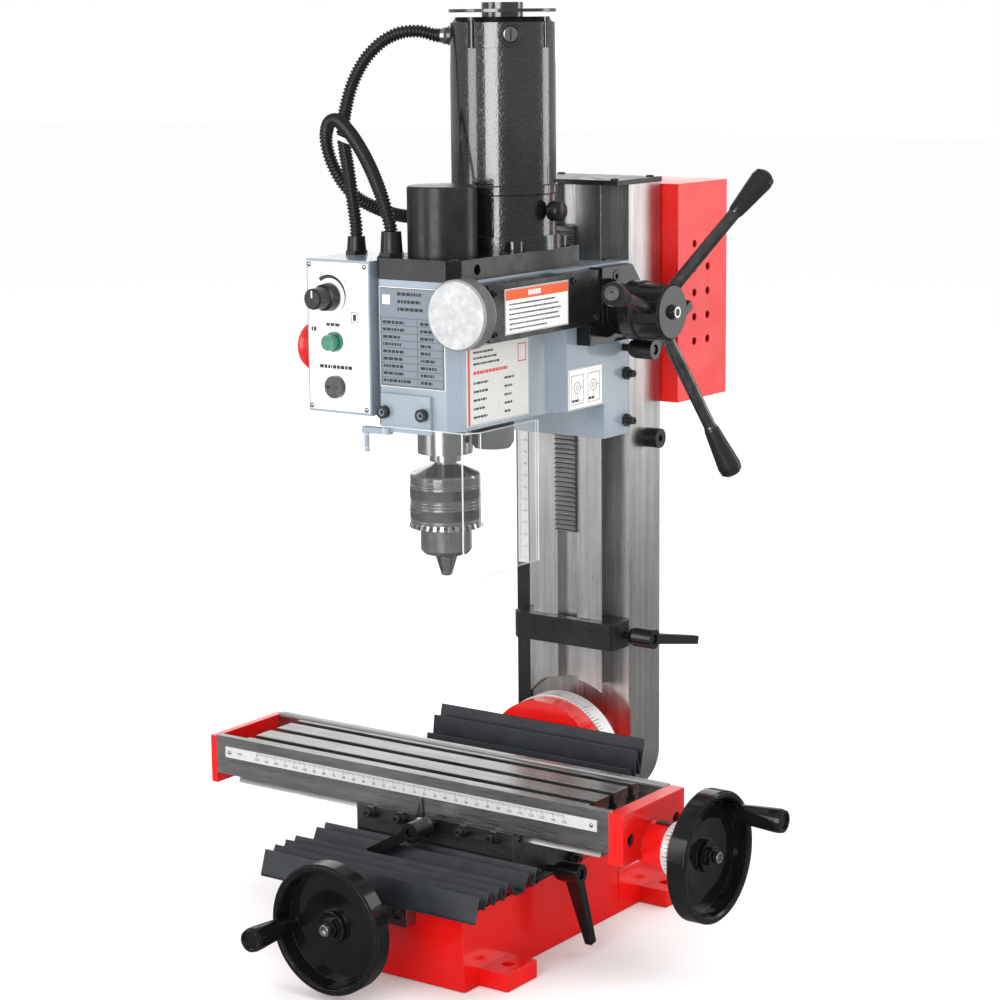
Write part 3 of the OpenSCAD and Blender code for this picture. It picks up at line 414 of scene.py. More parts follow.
def lamp_fuse_collar():
    """The three small fittings of the control box: green lamp, black fuse cap, yellow collar."""
    f = Finish("panel fittings", (0.02, 0.25, 0.07), 0.0, 0.16, coat_weight=0.4)
    rounded = f.edges(0.0004)[0]
    x, y, z = f.axes()
    is_fuse = f.sum("LESS_THAN", z, 0.4545)
    is_collar = f.sum("LESS_THAN", x, -0.0835)
    rings = f.sum("SINE", f.times(y, 4200.0))
    green = f.mix(f.uneven(0.003, 3), (0.002, 0.075, 0.040), (0.006, 0.20, 0.11))
    tone = f.mix(is_collar, f.mix(is_fuse, green, (0.012, 0.012, 0.013)), (0.70, 0.50, 0.02))
    return f.use(base_color=tone, roughness=f.uneven(0.004, 3, 0.12, 0.3),
                 normal=f.relief(rings, 0.00008, rounded, 0.4))


def threaded(name, axis):
    """A screw whose 2 mm thread shows as fine ribs along its axis."""
    f = Finish(name, (0.52, 0.51, 0.49), 1.0, 0.26)
    parts = dict(zip("xyz", f.axes()))
    saw = f.sum("ABSOLUTE", f.sum("SINE", f.times(parts[axis], math.pi / 0.002)))
    # painted shade: the colour is darkened in the thread roots, in place of the shade that falls in them
    return f.use(base_color=f.mix(saw, (0.20, 0.195, 0.18), (0.60, 0.59, 0.57)),
                 normal=f.relief(saw, 0.0004, None, 0.8),
                 roughness=f.uneven(0.003, 3, 0.2, 0.36))


way_cloth = rubber_cloth()
finishes = {
    "base_casting": red_enamel, "table_end_plate": red_enamel, "x_bracket": red_enamel, "electrics_box": red_sheet,
    "head_casting": blue_grey, "control_box": blue_grey, "guard_bracket": blue_grey,
    "saddle": saddle_iron, "table": table_iron, "column": column_iron, "rack": rack_steel,
    "y_bearing_plate": ground("bearing plate iron", (0.34, 0.34, 0.33), (1, 0.1, 0.3), 0.34),
    "saddle_gibs": black_oxide, "head_gib": black_oxide, "table_screws": black_oxide, "tilt_bolt": black_oxide,
    "feed_nuts": turned("bronze", (0.60, 0.40, 0.16)), "pointer": bright_steel,
    "x_leadscrew": threaded("x screw thread", "x"), "y_leadscrew": threaded("y screw thread", "y"),
    "x_handwheel": black_gloss, "y_handwheel": black_gloss, "x_handle": black_gloss, "y_handle": black_gloss,
    "x_dial": graduated("x dial", X_SCREW_AXIS, "x", (197.5, 193)),
    "y_dial": graduated("y dial", Y_SCREW_AXIS, "y", (-193.5, -198)),
    "tilt_scale": graduated("tilt scale", TILT_AXIS, "y", (80, 90), 120),
    "x_scale": printed("scale silver", (0.52, 0.52, 0.51), 0.3), "data_plates": label_stock,
    "control_panel": printed("panel white", (0.76, 0.78, 0.78), 0.3),
    "column_cap": black_oxide, "z_scale": black_oxide, "column_screw": soft_black, "depth_stop": black_oxide,
    "top_plate": blackened("top plate black", (0.007, 0.007, 0.0075), 0.22, 0.6),
    "spindle_cap": blackened("cap satin black", (0.012, 0.012, 0.0125), 0.30, 0.4),
    "feed_cover": blackened("feed cover black", (0.007, 0.007, 0.0075), 0.24), "feed_bracket": black_gloss,
    "capstan_hub": blackened("hub black chrome", (0.008, 0.008, 0.0085), 0.10, 0.4),
    "motor_body": motor_black, "motor_end_cap": motor_black,
    "x_lock_lever": black_lever, "y_lock_lever": black_lever, "stop_lever": black_lever, "head_lock_lever": black_lever,
    "hose_glands": soft_black, "speed_knob": soft_black, "stop_button": stop_red,
    "front_bellows": way_cloth, "rear_bellows": way_cloth,
    "motor_hose": hose_black, "supply_hose": hose_black,
    "chuck_guard": clear_plastic(), "capstan_arms": arms_with_tips(), "panel_fittings": lamp_fuse_collar(),
    "spindle": bright_steel, "idler_gear": turned_steel, "motor_rotor": rack_steel,
    "drill_chuck": knurled("chuck steel", (0.42, 0.415, 0.40), SPINDLE_AXIS, "z",
                           [(341.2, 348.8), (356.7, 364.3)], 34, 1.0, 0.13),
    "fine_feed_knob": knurled("feed knob aluminium", (0.60, 0.61, 0.62), (52, 0, 503), "y",
                              [(-118.6, -106.8)], 40, 0.75, 0.34, 0.0005, 0.25),
}
for name, material in finishes.items():
    nodes[name].data.materials.clear()
    nodes[name].data.materials.append(material)


# ---------- shape tools ----------
def piece(name, mesh, body, material=None):
    """A finished mesh becomes a piece that moves with a body."""
    made = placed(name.replace(" ", "_"), mesh)
    if material is not None:
        mesh.materials.clear()
        mesh.materials.append(material)
    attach(made, body)
    return made


def weld(mesh):
    """Joins points that lie together and turns every face outwards."""
    shape = bmesh.new()
    shape.from_mesh(mesh)
    bmesh.ops.remove_doubles(shape, verts=shape.verts, dist=WELD)
    bmesh.ops.recalc_face_normals(shape, faces=shape.faces)
    shape.to_mesh(mesh)
    shape.free()


def mesh_from(name, points, faces, closed=False):
    """A mesh from points in mm; a closed one is welded and faces outwards."""
    mesh = bpy.data.meshes.new(name)
    mesh.from_pydata([metres(p) for p in points], [], faces)
    if closed:
        weld(mesh)
    mesh.update()
    return mesh


def spun(profile, centre, axis, segments=48):
    """Points and faces of a closed outline, given as (radius, along) in mm, spun round an axis."""
    first, second = {"x": ((0, 1, 0), (0, 0, 1)), "y": ((0, 0, 1), (1, 0, 0)), "z": ((1, 0, 0), (0, 1, 0))}[axis]
    along = {"x": (1, 0, 0), "y": (0, 1, 0), "z": (0, 0, 1)}[axis]
    points, faces = [], []
    for i in range(segments):
        turn = 2 * math.pi * i / segments
        for radius, way in profile:
            points.append(tuple(c + radius * (math.cos(turn) * a + math.sin(turn) * b) + way * d
                                for c, a, b, d in zip(centre, first, second, along)))
    n = len(profile)
    for i in range(segments):
        j = (i + 1) % segments
        for k in range(n - 1):
            faces.append((i * n + k, j * n + k, j * n + k + 1, i * n + k + 1))
    faces.append(tuple(i * n for i in reversed(range(segments))))
    faces.append(tuple(i * n + n - 1 for i in range(segments)))
    return points, faces


def hoop(profile, centre, axis, segments):
    """Like spun, but the outline closes on itself, so the ring is open through its middle."""
    points, faces = spun(profile, centre, axis, segments)
    n = len(profile)
    faces = [face for face in faces if len(face) == 4]
    for i in range(segments):
        j = (i + 1) % segments
        faces.append((i * n + n - 1, j * n + n - 1, j * n, i * n))
    return points, faces


def lathe(name, profile, centre, axis, body, material, segments=48):
    points, faces = spun(profile, centre, axis, segments)
    mesh = mesh_from(name, points, faces, True)
    made = piece(name, mesh, body, material)
    for polygon in mesh.polygons:
        polygon.use_smooth = len(polygon.vertices) == 4
    return made


class Print:
    """Ink on a flat face: bars and outlines laid in the face's own two directions, in mm."""

    def __init__(self, origin, across, upward, lift):
        self.origin, self.across, self.upward = Vector(origin), Vector(across), Vector(upward)
        self.out = self.across.cross(self.upward).normalized() * lift
        self.points, self.faces = [], []

    def corner(self, u, v, out=True):
        return tuple(self.origin + self.across * u + self.upward * v + (self.out if out else self.out * 0))

    def slab(self, corners):
        n = len(self.points)
        self.points += [self.corner(*q) for q in corners]
        self.points += [self.corner(*q, False) for q in corners]
        self.faces += [(n, n + 1, n + 2, n + 3), (n, n + 4, n + 5, n + 1), (n + 1, n + 5, n + 6, n + 2),
                       (n + 2, n + 6, n + 7, n + 3), (n + 3, n + 7, n + 4, n), (n + 7, n + 6, n + 5, n + 4)]

    def bar(self, u0, v0, u1, v1):
        self.slab(((u0, v0), (u1, v0), (u1, v1), (u0, v1)))

    def outline(self, u0, v0, u1, v1, thick):
        self.bar(u0, v0, u1, v0 + thick)
        self.bar(u0, v1 - thick, u1, v1)
        self.bar(u0, v0 + thick, u0 + thick, v1 - thick)
        self.bar(u1 - thick, v0 + thick, u1, v1 - thick)

    def lines(self, u0, v0, u1, v1, rows, seed, height=0.55, fill=0.9):
        """Rows of short dashes that stand for small print."""
        dice = random.Random(seed)
        pitch = (v1 - v0) / rows
        for row in range(rows):
            v = v1 - pitch * (row + 0.5)
            u = u0
            stop = u0 + (u1 - u0) * dice.uniform(fill * 0.6, fill)
            while u < stop:
                width = min(dice.uniform(1.2, 4.2), stop - u)
                if width > 0.3:
                    self.bar(u, v - pitch * height / 2, u + width, v + pitch * height / 2)
                u += width + 0.8

    def arc(self, u, v, radius, thick, start, end, steps=40, taper=False):
        for i in range(steps):
            a, b = (math.radians(start + (end - start) * k / steps) for k in (i, i + 1))
            t = thick * ((i + 1) / steps if taper else 1)
            self.slab([(u + r * math.cos(angle), v + r * math.sin(angle))
                       for angle, r in ((a, radius), (a, radius + t), (b, radius + t), (b, radius))])

    def done(self, name, body, material, slot="white_plate"):
        return piece(name, mesh_from(name, self.points, self.faces), body, material)


def front_print(origin, lift):
    """Print on a face that looks along -Y."""
    return Print(origin, (1, 0, 0), (0, 0, 1), lift)


def side_print(origin, lift):
    """Print on a face that looks along +X."""
    return Print(origin, (0, 1, 0), (0, 0, 1), lift)


def numerals(name, entries, size, origin, across, upward, lift, body, material):
    """Small figures standing on a flat face; entries are (text, u, v) in mm, centred."""
    across, upward = Vector(across), Vector(upward)
    out = across.cross(upward)
    turn = Matrix((across, upward, out)).transposed().to_4x4()
    points, faces = [], []
    for text, u, v in entries:
        curve = bpy.data.curves.new("figure", "FONT")
        curve.body, curve.size, curve.align_x, curve.align_y = text, size, "CENTER", "CENTER"
        curve.resolution_u = 2
        holder = placed("figure", curve)
        bpy.context.view_layer.update()
        flat = bpy.data.meshes.new_from_object(holder.evaluated_get(bpy.context.evaluated_depsgraph_get()))
        place = Matrix.Translation(Vector(origin) + across * u + upward * v + out * lift) @ turn
        n = len(points)
        points += [tuple(place @ vertex.co) for vertex in flat.vertices]
        faces += [tuple(n + i for i in polygon.vertices) for polygon in flat.polygons]
        bpy.data.objects.remove(holder)
        bpy.data.meshes.remove(flat)
        bpy.data.curves.remove(curve)
    return piece(name, mesh_from(name, points, faces), body, material)


# ---------- shapes that repeat, by geometry nodes ----------
def tree_with(name, sockets):
    tree = bpy.data.node_groups.new(name, "GeometryNodeTree")
    tree.interface.new_socket("Geometry", in_out="INPUT", socket_type="NodeSocketGeometry")
    for label, kind in sockets:
        tree.interface.new_socket(label, in_out="INPUT", socket_type="NodeSocket" + kind)
    tree.interface.new_socket("Geometry", in_out="OUTPUT", socket_type="NodeSocketGeometry")
    return tree, tree.nodes.new("NodeGroupInput"), tree.nodes.new("NodeGroupOutput")


def grown(name, tree, values, body, base=None):
    """Runs a tree with its named inputs and keeps the result as a plain mesh piece."""
    holder = base or placed(name + " holder", bpy.data.meshes.new(name + " holder"))
    modifier = holder.modifiers.new("grown", "NODES")
    modifier.node_group = tree
    for item in tree.interface.items_tree:
        if item.in_out == "INPUT" and item.name in values:
            modifier[item.identifier] = values[item.name]
    bpy.context.view_layer.update()
    mesh = bpy.data.meshes.new_from_object(holder.evaluated_get(bpy.context.evaluated_depsgraph_get()))
    mesh.name = name
    bpy.data.objects.remove(holder)
    made = placed(name.replace(" ", "_"), mesh)
    if body:
        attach(made, body)
    return made


def painted(tree, shape, given, result):
    """Ends a tree by giving its shape the Finish it was asked for."""
    paint = tree.nodes.new("GeometryNodeSetMaterial")
    tree.links.new(shape, paint.inputs[0])
    tree.links.new(given.outputs["Finish"], paint.inputs["Material"])
    tree.links.new(paint.outputs[0], result.inputs[0])
    return tree


def counted(tree, operation, first, second=None):
    """A math node in a tree, fed by a socket and by a socket or a number."""
    made = tree.nodes.new("ShaderNodeMath")
    made.operation = operation
    tree.links.new(first, made.inputs[0])
    if hasattr(second, "is_output"):
        tree.links.new(second, made.inputs[1])
    elif second is not None:
        made.inputs[1].default_value = second
    return made.outputs[0]


def row_tree():
    """A row of equal bars: Start, Step, Count and Size set the row, Finish is its material."""
    tree, given, result = tree_with("row of bars", [
        ("Start", "Vector"), ("Step", "Vector"), ("Count", "Int"),
        ("Size", "Vector"), ("Finish", "Material")])
    link, add = tree.links.new, tree.nodes.new
    line = add("GeometryNodeMeshLine")
    link(given.outputs["Count"], line.inputs["Count"])
    link(given.outputs["Start"], line.inputs["Start Location"])
    link(given.outputs["Step"], line.inputs["Offset"])
    bar = add("GeometryNodeMeshCube")
    link(given.outputs["Size"], bar.inputs["Size"])
    place = add("GeometryNodeInstanceOnPoints")
    link(line.outputs[0], place.inputs["Points"])
    link(bar.outputs[0], place.inputs["Instance"])
    real = add("GeometryNodeRealizeInstances")
    link(place.outputs[0], real.inputs[0])
    return painted(tree, real.outputs[0], given, result)


rows = row_tree()


def row(name, start, step, count, size, material, body, slot="white_plate"):
    values = {"Start": metres(start), "Step": metres(step), "Count": count, "Size": metres(size), "Finish": material}
    return grown(name, rows, values, body)


def ring_tree():
    """Small teeth set round an axis along Z: Centre, Count, Radius, Size, Lean and Finish."""
    tree, given, result = tree_with("ring of teeth", [
        ("Centre", "Vector"), ("Count", "Int"), ("Radius", "Float"),
        ("Size", "Vector"), ("Lean", "Float"), ("Finish", "Material")])
    link, add = tree.links.new, tree.nodes.new
    circle = add("GeometryNodeMeshCircle")
    link(given.outputs["Count"], circle.inputs["Vertices"])
    link(given.outputs["Radius"], circle.inputs["Radius"])
    index = add("GeometryNodeInputIndex")
    share = counted(tree, "DIVIDE", index.outputs[0], given.outputs["Count"])
    angle = counted(tree, "MULTIPLY", share, 2 * math.pi)
    turn = add("ShaderNodeCombineXYZ")
    link(given.outputs["Lean"], turn.inputs[1])
    link(angle, turn.inputs[2])
    tooth = add("GeometryNodeMeshCube")
    link(given.outputs["Size"], tooth.inputs["Size"])
    place = add("GeometryNodeInstanceOnPoints")
    link(circle.outputs[0], place.inputs["Points"])
    link(tooth.outputs[0], place.inputs["Instance"])
    link(turn.outputs[0], place.inputs["Rotation"])
    move = add("GeometryNodeTransform")
    link(place.outputs[0], move.inputs[0])
    link(given.outputs["Centre"], move.inputs["Translation"])
    real = add("GeometryNodeRealizeInstances")
    link(move.outputs[0], real.inputs[0])
    return painted(tree, real.outputs[0], given, result)


rings = ring_tree()


def ring(name, centre, count, radius, size, lean, material, body):
    values = {"Centre": metres(centre), "Count": count, "Radius": radius * MM, "Size": metres(size), "Lean": lean,
              "Finish": material}
    return grown(name, rings, values, body)


def hose_tree():
    """A corrugated hose along a curve: Radius, Pitch of the folds, Depth of the folds and Finish."""
    tree, given, result = tree_with("corrugated hose", [
        ("Radius", "Float"), ("Pitch", "Float"), ("Depth", "Float"),
        ("Finish", "Material")])
    link, add = tree.links.new, tree.nodes.new
    even = add("GeometryNodeResampleCurve")
    even.mode = "LENGTH"
    link(given.outputs["Geometry"], even.inputs["Curve"])
    link(counted(tree, "DIVIDE", given.outputs["Pitch"], 4.0), even.inputs["Length"])
    index = add("GeometryNodeInputIndex")
    wave = counted(tree, "MULTIPLY", index.outputs[0], math.pi / 2)
    fold = counted(tree, "MULTIPLY", counted(tree, "SINE", wave), given.outputs["Depth"])
    swell = counted(tree, "ADD", fold, given.outputs["Radius"])
    radius = add("GeometryNodeSetCurveRadius")
    link(even.outputs[0], radius.inputs["Curve"])
    link(swell, radius.inputs["Radius"])
    outline = add("GeometryNodeCurvePrimitiveCircle")
    outline.inputs["Resolution"].default_value = 18
    outline.inputs["Radius"].default_value = 1.0
    sweep = add("GeometryNodeCurveToMesh")
    link(radius.outputs[0], sweep.inputs["Curve"])
    link(outline.outputs[0], sweep.inputs["Profile Curve"])
    sweep.inputs["Fill Caps"].default_value = True
    if "Scale" in sweep.inputs:
        link(swell, sweep.inputs["Scale"])
    return painted(tree, sweep.outputs[0], given, result)


corrugated = hose_tree()


def smooth_route(points, steps=10):
    """A rounded line through the given points, in metres."""
    line = []
    ends = [points[0]] + points + [points[-1]]
    for a, b, c, d in zip(ends, ends[1:], ends[2:], ends[3:]):
        for i in range(steps):
            t = i / steps
            line.append(tuple(0.5 * MM * (2 * q + (r - p) * t + (2 * p - 5 * q + 4 * r - s) * t * t
                                          + (3 * q - p - 3 * r + s) * t ** 3) for p, q, r, s in zip(a, b, c, d)))
    line.append(metres(points[-1]))
    return line


def hose(name, points, replaces):
    route = smooth_route(points)
    curve = bpy.data.curves.new(name, "CURVE")
    curve.dimensions = "3D"
    spline = curve.splines.new("POLY")
    spline.points.add(len(route) - 1)
    for point, place in zip(spline.points, route):
        point.co = (*place, 1)
    holder = placed(name + " line", curve)
    made = grown(name, corrugated, {"Radius": 4.65 * MM, "Pitch": 2.8 * MM, "Depth": 0.75 * MM, "Finish": hose_black},
                 None, holder)
    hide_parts(replaces)
    length = sum((Vector(a) - Vector(b)).length for a, b in zip(route, route[1:]))
    return made, route, length


# ---------- hoses ----------
motor_route = [(-50.1, 6, 702), (-57, 5, 702.8), (-67, 0, 705.5), (-78, -7, 705), (-88, -12, 701), (-96, -18, 694),
               (-103, -25, 683), (-108, -32, 668), (-110, -38, 652), (-108, -46, 634), (-103, -51, 618),
               (-97, -55, 603), (-92, -58, 588), (-88, -60, 572), (-86, -60, 558), (-86, -60, 551)]
supply_route = [(-29, -90, 559), (-31, -90, 567), (-38, -89, 584), (-52, -83, 603), (-68, -76, 619), (-86, -68, 632),
                (-102, -61, 639), (-115, -55, 636), (-122, -50, 624), (-121, -46, 608), (-116, -40, 592),
                (-110, -30, 579), (-104, -18, 571), (-98, 0, 564), (-93, 20, 560), (-87, 45, 558), (-81, 75, 557),
                (-76, 105, 556), (-70, 126, 556), (-62, 140, 556), (-58.3, 149, 556), (-58, 157.9, 556)]
motor_hose, motor_line, motor_length = hose("corrugated motor hose", motor_route, "motor_hose")
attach(motor_hose, "head")
supply_hose, supply_line, supply_length = hose("corrugated supply hose", supply_route, "supply_hose")
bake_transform(supply_hose)
tie_at = (-104, -51, 624)
points, faces = hoop([(6.4, -1.6), (7.3, -1.6), (7.3, 1.6), (6.4, 1.6)], (0, 0, 0), "z", 32)
lean = Matrix.Translation(Vector(tie_at)) @ Matrix.Rotation(0.35, 4, "Y") @ Matrix.Rotation(-0.25, 4, "X")
points = [tuple(lean @ Vector(p)) for p in points]
piece("cable tie", mesh_from("cable tie", points, faces, True), "head", cable_tie)

# ---------- folded way covers ----------
def way_cover(name, node):
    """A folded cover: a welded, flat-shaded copy of the solid, which is hidden, fixed in its place in the scene."""
    mesh = nodes[node].data.copy()
    weld(mesh)
    for polygon in mesh.polygons:
        polygon.use_smooth = False
    made = placed(name, mesh)
    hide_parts(node)
    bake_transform(made)


way_cover("front_way_cover", "front_bellows")
way_cover("rear_way_cover", "rear_bellows")

# ---------- table and its scale ----------
front = TABLE_SCALE_FACE
row("table scale ticks 1 mm", (-178.1, front - 0.05, 129.0), (1, 0, 0), 301, (0.16, 0.12, 1.5), black_ink, "table")
row("table scale ticks 5 mm", (-178.1, front - 0.05, 128.6), (5, 0, 0), 61, (0.2, 0.12, 2.4), black_ink, "table")
row("table scale ticks 10 mm", (-178.1, front - 0.05, 128.2), (10, 0, 0), 31, (0.26, 0.12, 3.4), black_ink, "table")
numerals("table scale figures", [(str(abs(v)), v - 28.1, 0) for v in range(-150, 151, 10)], 3.2,
         (0, front, 124.2), (1, 0, 0), (0, 0, 1), 0.08, "table", black_ink)
numerals("table scale unit", [("mm", 0, 0)], 3.4, (-196, front, 126.5), (1, 0, 0), (0, 0, 1), 0.08, "table", black_ink)
for x in (-207, 146.5):
    lathe("scale pin", [(0.05, 0), (1.7, 0), (1.5, -0.7), (0.8, -1.0), (0.05, -1.05)][::-1], (x, front, 126), "y",
          "table", bright_steel, 20)

# ---------- column scale ----------
ruler = front_print((-62, COLUMN_SCALE_FACE, 0), 0.08)
ruler.bar(1.6, 266, 12.0, 559)
ruler.done("column ruler strip", "column", printed("ruler silver", (0.62, 0.62, 0.61), 0.3))
row("column scale ticks 1 mm", (-58.3, 118.5, 270), (0, 0, 1), 286, (1.6, 0.12, 0.18), black_ink, "column")
row("column scale ticks 5 mm", (-57.9, 118.5, 270), (0, 0, 5), 58, (2.6, 0.12, 0.2), black_ink, "column")
row("column scale ticks 10 mm", (-57.4, 118.5, 270), (0, 0, 10), 29, (3.6, 0.12, 0.24), black_ink, "column")
numerals("column scale figures", [(str(v), 0, v + 20) for v in range(0, 281, 10)], 2.8, (-53, COLUMN_SCALE_FACE, 250),
         (1, 0, 0), (0, 0, 1), 0.12, "column", black_ink)

# ---------- control panel ----------
panel = front_print(PANEL_CORNER, 0.12)
panel.arc(23.2, 88.7, 14.2, 3.2, -52, 128, 48, True)
for i in range(11):
    angle = math.radians(-52 + 232 * i / 10)
    u, v = 23.2 + 18.8 * math.cos(angle), 88.7 + 18.8 * math.sin(angle)
    panel.bar(u - 0.4, v - 0.4, u + 0.4, v + 0.4)
panel.lines(4.5, 60.5, 13, 66.5, 1, 4)
panel.lines(19, 66.0, 37, 69.2, 1, 5, 0.7)
panel.lines(12, 33.5, 46, 37.2, 1, 6, 0.75, 1.0)
panel.outline(43, 70, 50, 78, 0.5)
panel.bar(45, 71.6, 48, 76.4)
panel.done("panel print", "head", black_ink)
for u, v in ((3.6, 4.4), (56.6, 4.4), (3.6, 112.6), (56.6, 112.6)):
    place = (PANEL_CORNER[0] + u, PANEL_CORNER[1], PANEL_CORNER[2] + v)
    lathe("panel screw", [(0.05, -1.3), (1.2, -1.2), (1.9, -0.6), (2.0, 0)], place, "y", "head", bright_steel,
          20)
knob_line = front_print((-76.8, -105.7 - 21.5, 508.7), 0.15)
knob_line.bar(-0.6, 1, 0.6, 6.5)
knob_line.done("speed knob pointer line", "speed_knob", white_ink, "white_plate")

# ---------- data plates ----------
spec = front_print((-30.4, -104.2, 444), 0.1)
spec.bar(0.5, 0.5, 59.7, 74.5)
spec.done("data plate field", "head", grey_ink)
spec = front_print((-30.4, -104.3, 444), 0.08)
for i in range(10):
    spec.bar(1.5, 1.5 + i * 5.6, 58.7, 1.75 + i * 5.6)
for u in (1.5, 35, 58.45):
    spec.bar(u, 1.5, u + 0.25, 51.9)
spec.lines(3, 2, 33, 51.4, 9, 11, 0.40, 0.85)
spec.lines(38, 2, 57, 51.4, 9, 12, 0.40, 0.75)
spec.lines(17, 56, 50, 73, 3, 13, 0.42, 1.0)
spec.outline(0.5, 0.5, 59.7, 74.5, 0.4)
spec.done("data plate figures", "head", black_ink)
spec = front_print((-30.4, -104.3, 444), 0.08)
spec.bar(3, 62, 10, 69)
spec.done("data plate square", "head", white_ink)

side = side_print((39.9, -90.5, 416), 0.06)
side.bar(0.4, 0.4, 80.4, 59.6)
side.done("side plate field", "head", printed("plate silver", (0.56, 0.56, 0.54), 0.32))
side = side_print((39.96, -90.5, 416), 0.08)
side.bar(1.2, 1, 3.4, 59)
side.lines(8, 38, 54, 41, 1, 20, 0.8, 1.0)
side.outline(66, 42, 77, 56, 0.8)
side.done("side plate red bar", "head", red_ink)
side = side_print((39.96, -90.5, 416), 0.08)
side.lines(8, 44, 46, 57, 3, 21, 0.36, 1.0)
side.lines(8, 3, 32, 35, 5, 22, 0.26, 0.8)
side.lines(48, 3, 70, 35, 5, 23, 0.26, 0.6)
side.outline(0.4, 0.4, 80.4, 59.6, 0.3)
side.done("side plate print", "head", black_ink)

caution = side_print((60.7, -70, 484), 0.1)
caution.bar(1, 25.5, 83, 33)
caution.done("cover label heading", "head", orange_ink)
caution = side_print((60.7, -70, 484), 0.12)
caution.lines(5, 2, 80, 24, 6, 30, 0.32, 1.0)
caution.outline(0.4, 0.4, 83.6, 33.6, 0.3)
caution.done("cover label print", "head", black_ink)
caution = side_print((60.82, -70, 484), 0.1)
caution.lines(30, 27, 58, 31.6, 1, 31, 0.85, 1.0)
caution.done("cover label words", "head", white_ink)

chart = side_print((50.3, 29.5, 413.5), 0.1)
for u in (4, 27):
    chart.outline(u, 4, u + 17, 27, 0.35)
    chart.arc(u + 8, 17, 4.2, 0.4, 0, 360, 32)
    chart.arc(u + 8, 17, 1.4, 0.4, 0, 360, 20)
    chart.bar(u + 12.5, 16.8, u + 16, 17.2)
    chart.bar(u + 7.8, 7, u + 8.2, 12)
    chart.lines(u + 1, 5, u + 15, 9, 1, 40 + u, 0.5)
chart.outline(0.4, 0.4, 48.1, 32.1, 0.35)
chart.done("feed chart print", "head", black_ink)

# ---------- drill chuck, motor and small hardware ----------
# painted shade: a near-black skin over the boss under the head, which is part of the blue grey head, in place of the
# shadow under it
lathe("head boss shade skin", [(0.05, 385.8), (14.1, 385.8), (17.2, 390.9), (17.2, 412.9), (0.05, 412.9)], (0, -3, 0), "z",
      "head", blackened("boss painted shade", (0.05, 0.05, 0.052), 0.4), 48)
ring("chuck key teeth", (*SPINDLE_AXIS[:2], 335.2), 30, 25.6, (4.2, 2.6, 4.6), -0.35, bright_steel, "spindle")
lathe("chuck lower cone", [(0.1, 331.7), (19.9, 331.7), (24.2, 333.2), (24.4, 334.0), (0.1, 334.0)], SPINDLE_AXIS, "z",
      "spindle", bright_steel, 64)
for z in (366.6, 354.2, 351.6, 339.4):
    points, faces = hoop([(27.05, z - 0.5), (27.35, z), (27.05, z + 0.5)], SPINDLE_AXIS, "z", 64)
    piece("chuck bead", mesh_from("chuck bead", points, faces, True), "spindle", bright_steel)

lathe("motor side knob", [(0.1, 0), (3.2, 0), (3.2, 4), (7.2, 4.6), (7.8, 6), (7.8, 13.5), (6.8, 15), (0.1, 15.2)],
      (40.6, 14, 570), "x", "head", soft_black)
for z in (582.4, 589.6):
    lathe("motor seam", [(40.6, z - 0.25), (41.2, z - 0.2), (41.2, z + 0.2), (40.6, z + 0.25)], MOTOR_AXIS, "z", "head",
          soft_black, 96)
points, faces = hoop([(6.05, 0), (6.5, 0), (6.5, 3.6), (6.05, 3.6)], (-47.6, 6, 702), "x", 40)
piece("gland band", mesh_from("gland band", points, faces, True), "head", bright_steel)


def round_motor(points, angle):
    """Points laid out from the motor's axis along X, turned to a bearing round it."""
    turn = Matrix.Translation((*MOTOR_AXIS[:2], BRUSH_HEIGHT)) @ Matrix.Rotation(math.radians(angle), 4, "Z")
    return [tuple(turn @ Vector(p)) for p in points]


for angle in (-47, 133):
    points, faces = spun([(0.1, 43.5), (5.3, 43.5), (5.3, 43.9), (4.7, 44.2), (0.1, 44.2)], (0, 0, 0), "x", 32)
    piece("brush cap face", mesh_from("brush cap face", round_motor(points, angle), faces, True), "head",
          turned("brush cap nickel", (0.50, 0.50, 0.49), 0.2))
    points, faces = hoop([(6.2, 41.9), (9.0, 41.9), (8.4, 42.9), (6.8, 42.9)], (0, 0, 0), "x", 40)
    piece("brush boss rim", mesh_from("brush boss rim", round_motor(points, angle), faces, True), "head", motor_black)
    turn = Matrix.Rotation(math.radians(angle), 3, "Z")
    slot = Print(round_motor([(44.2, 0, 0)], angle)[0], turn @ Vector((0, 1, 0)), (0, 0, 1), 0.06)
    slot.bar(-0.6, -4.2, 0.6, 4.2)
    slot.done("brush cap slot", "head", black_ink, "black_metal")


def cap_screw(name, centre, axis, out, body, radius=3.6, height=3.4, material=None):
    """A cap screw seen from outside: a chamfered head with a round recess."""
    profile = [(radius * 0.55, height - 1.9), (radius * 0.58, height), (radius * 0.9, height),
               (radius, height - 0.5), (radius, 0)]
    profile = [(r, a * out) for r, a in profile]
    points, faces = spun(profile, centre, axis, 24)
    return piece(name, mesh_from(name, points, faces, True), body, material or black_oxide)


for y, z in ((-84, 516), (-84, 486), (22, 516.5), (52, 486)):
    cap_screw("feed cover screw", (60, y, z), "x", 1, "head", 2.6, 2.2)
for x in (-25, 11):
    cap_screw("guard bracket screw", (x, -106.5, 425), "y", -1, "head", 4.8, 5.2)
for x, y in ((-33, -96), (33, -96), (-33, 54), (33, 54), (33, -32), (-33, -32)):
    cap_screw("top plate screw", (x, y, 540.2), "z", 1, "head", 3.4, 1.2)
for x, y in ((-43, 107), (43, 107), (-43, 160), (43, 160)):
    cap_screw("column cap screw", (x, y, 588), "z", 1, "column", 3.2, 1.2)
for x in (-56, 56):
    for z in (414, 572):
        cap_screw("electrics cover screw", (x, 245.4, z), "y", 1, "column", 3.0, 1.8)
cap_screw("wheel end screw", (WHEEL_END_SCREW, *X_SCREW_AXIS[1:]), "x", 1, "x_screw", 4.6, 2.6, bright_steel)
cap_screw("wheel end screw", (0, -221.5, 55.5), "y", -1, "y_screw", 4.6, 2.6, bright_steel)
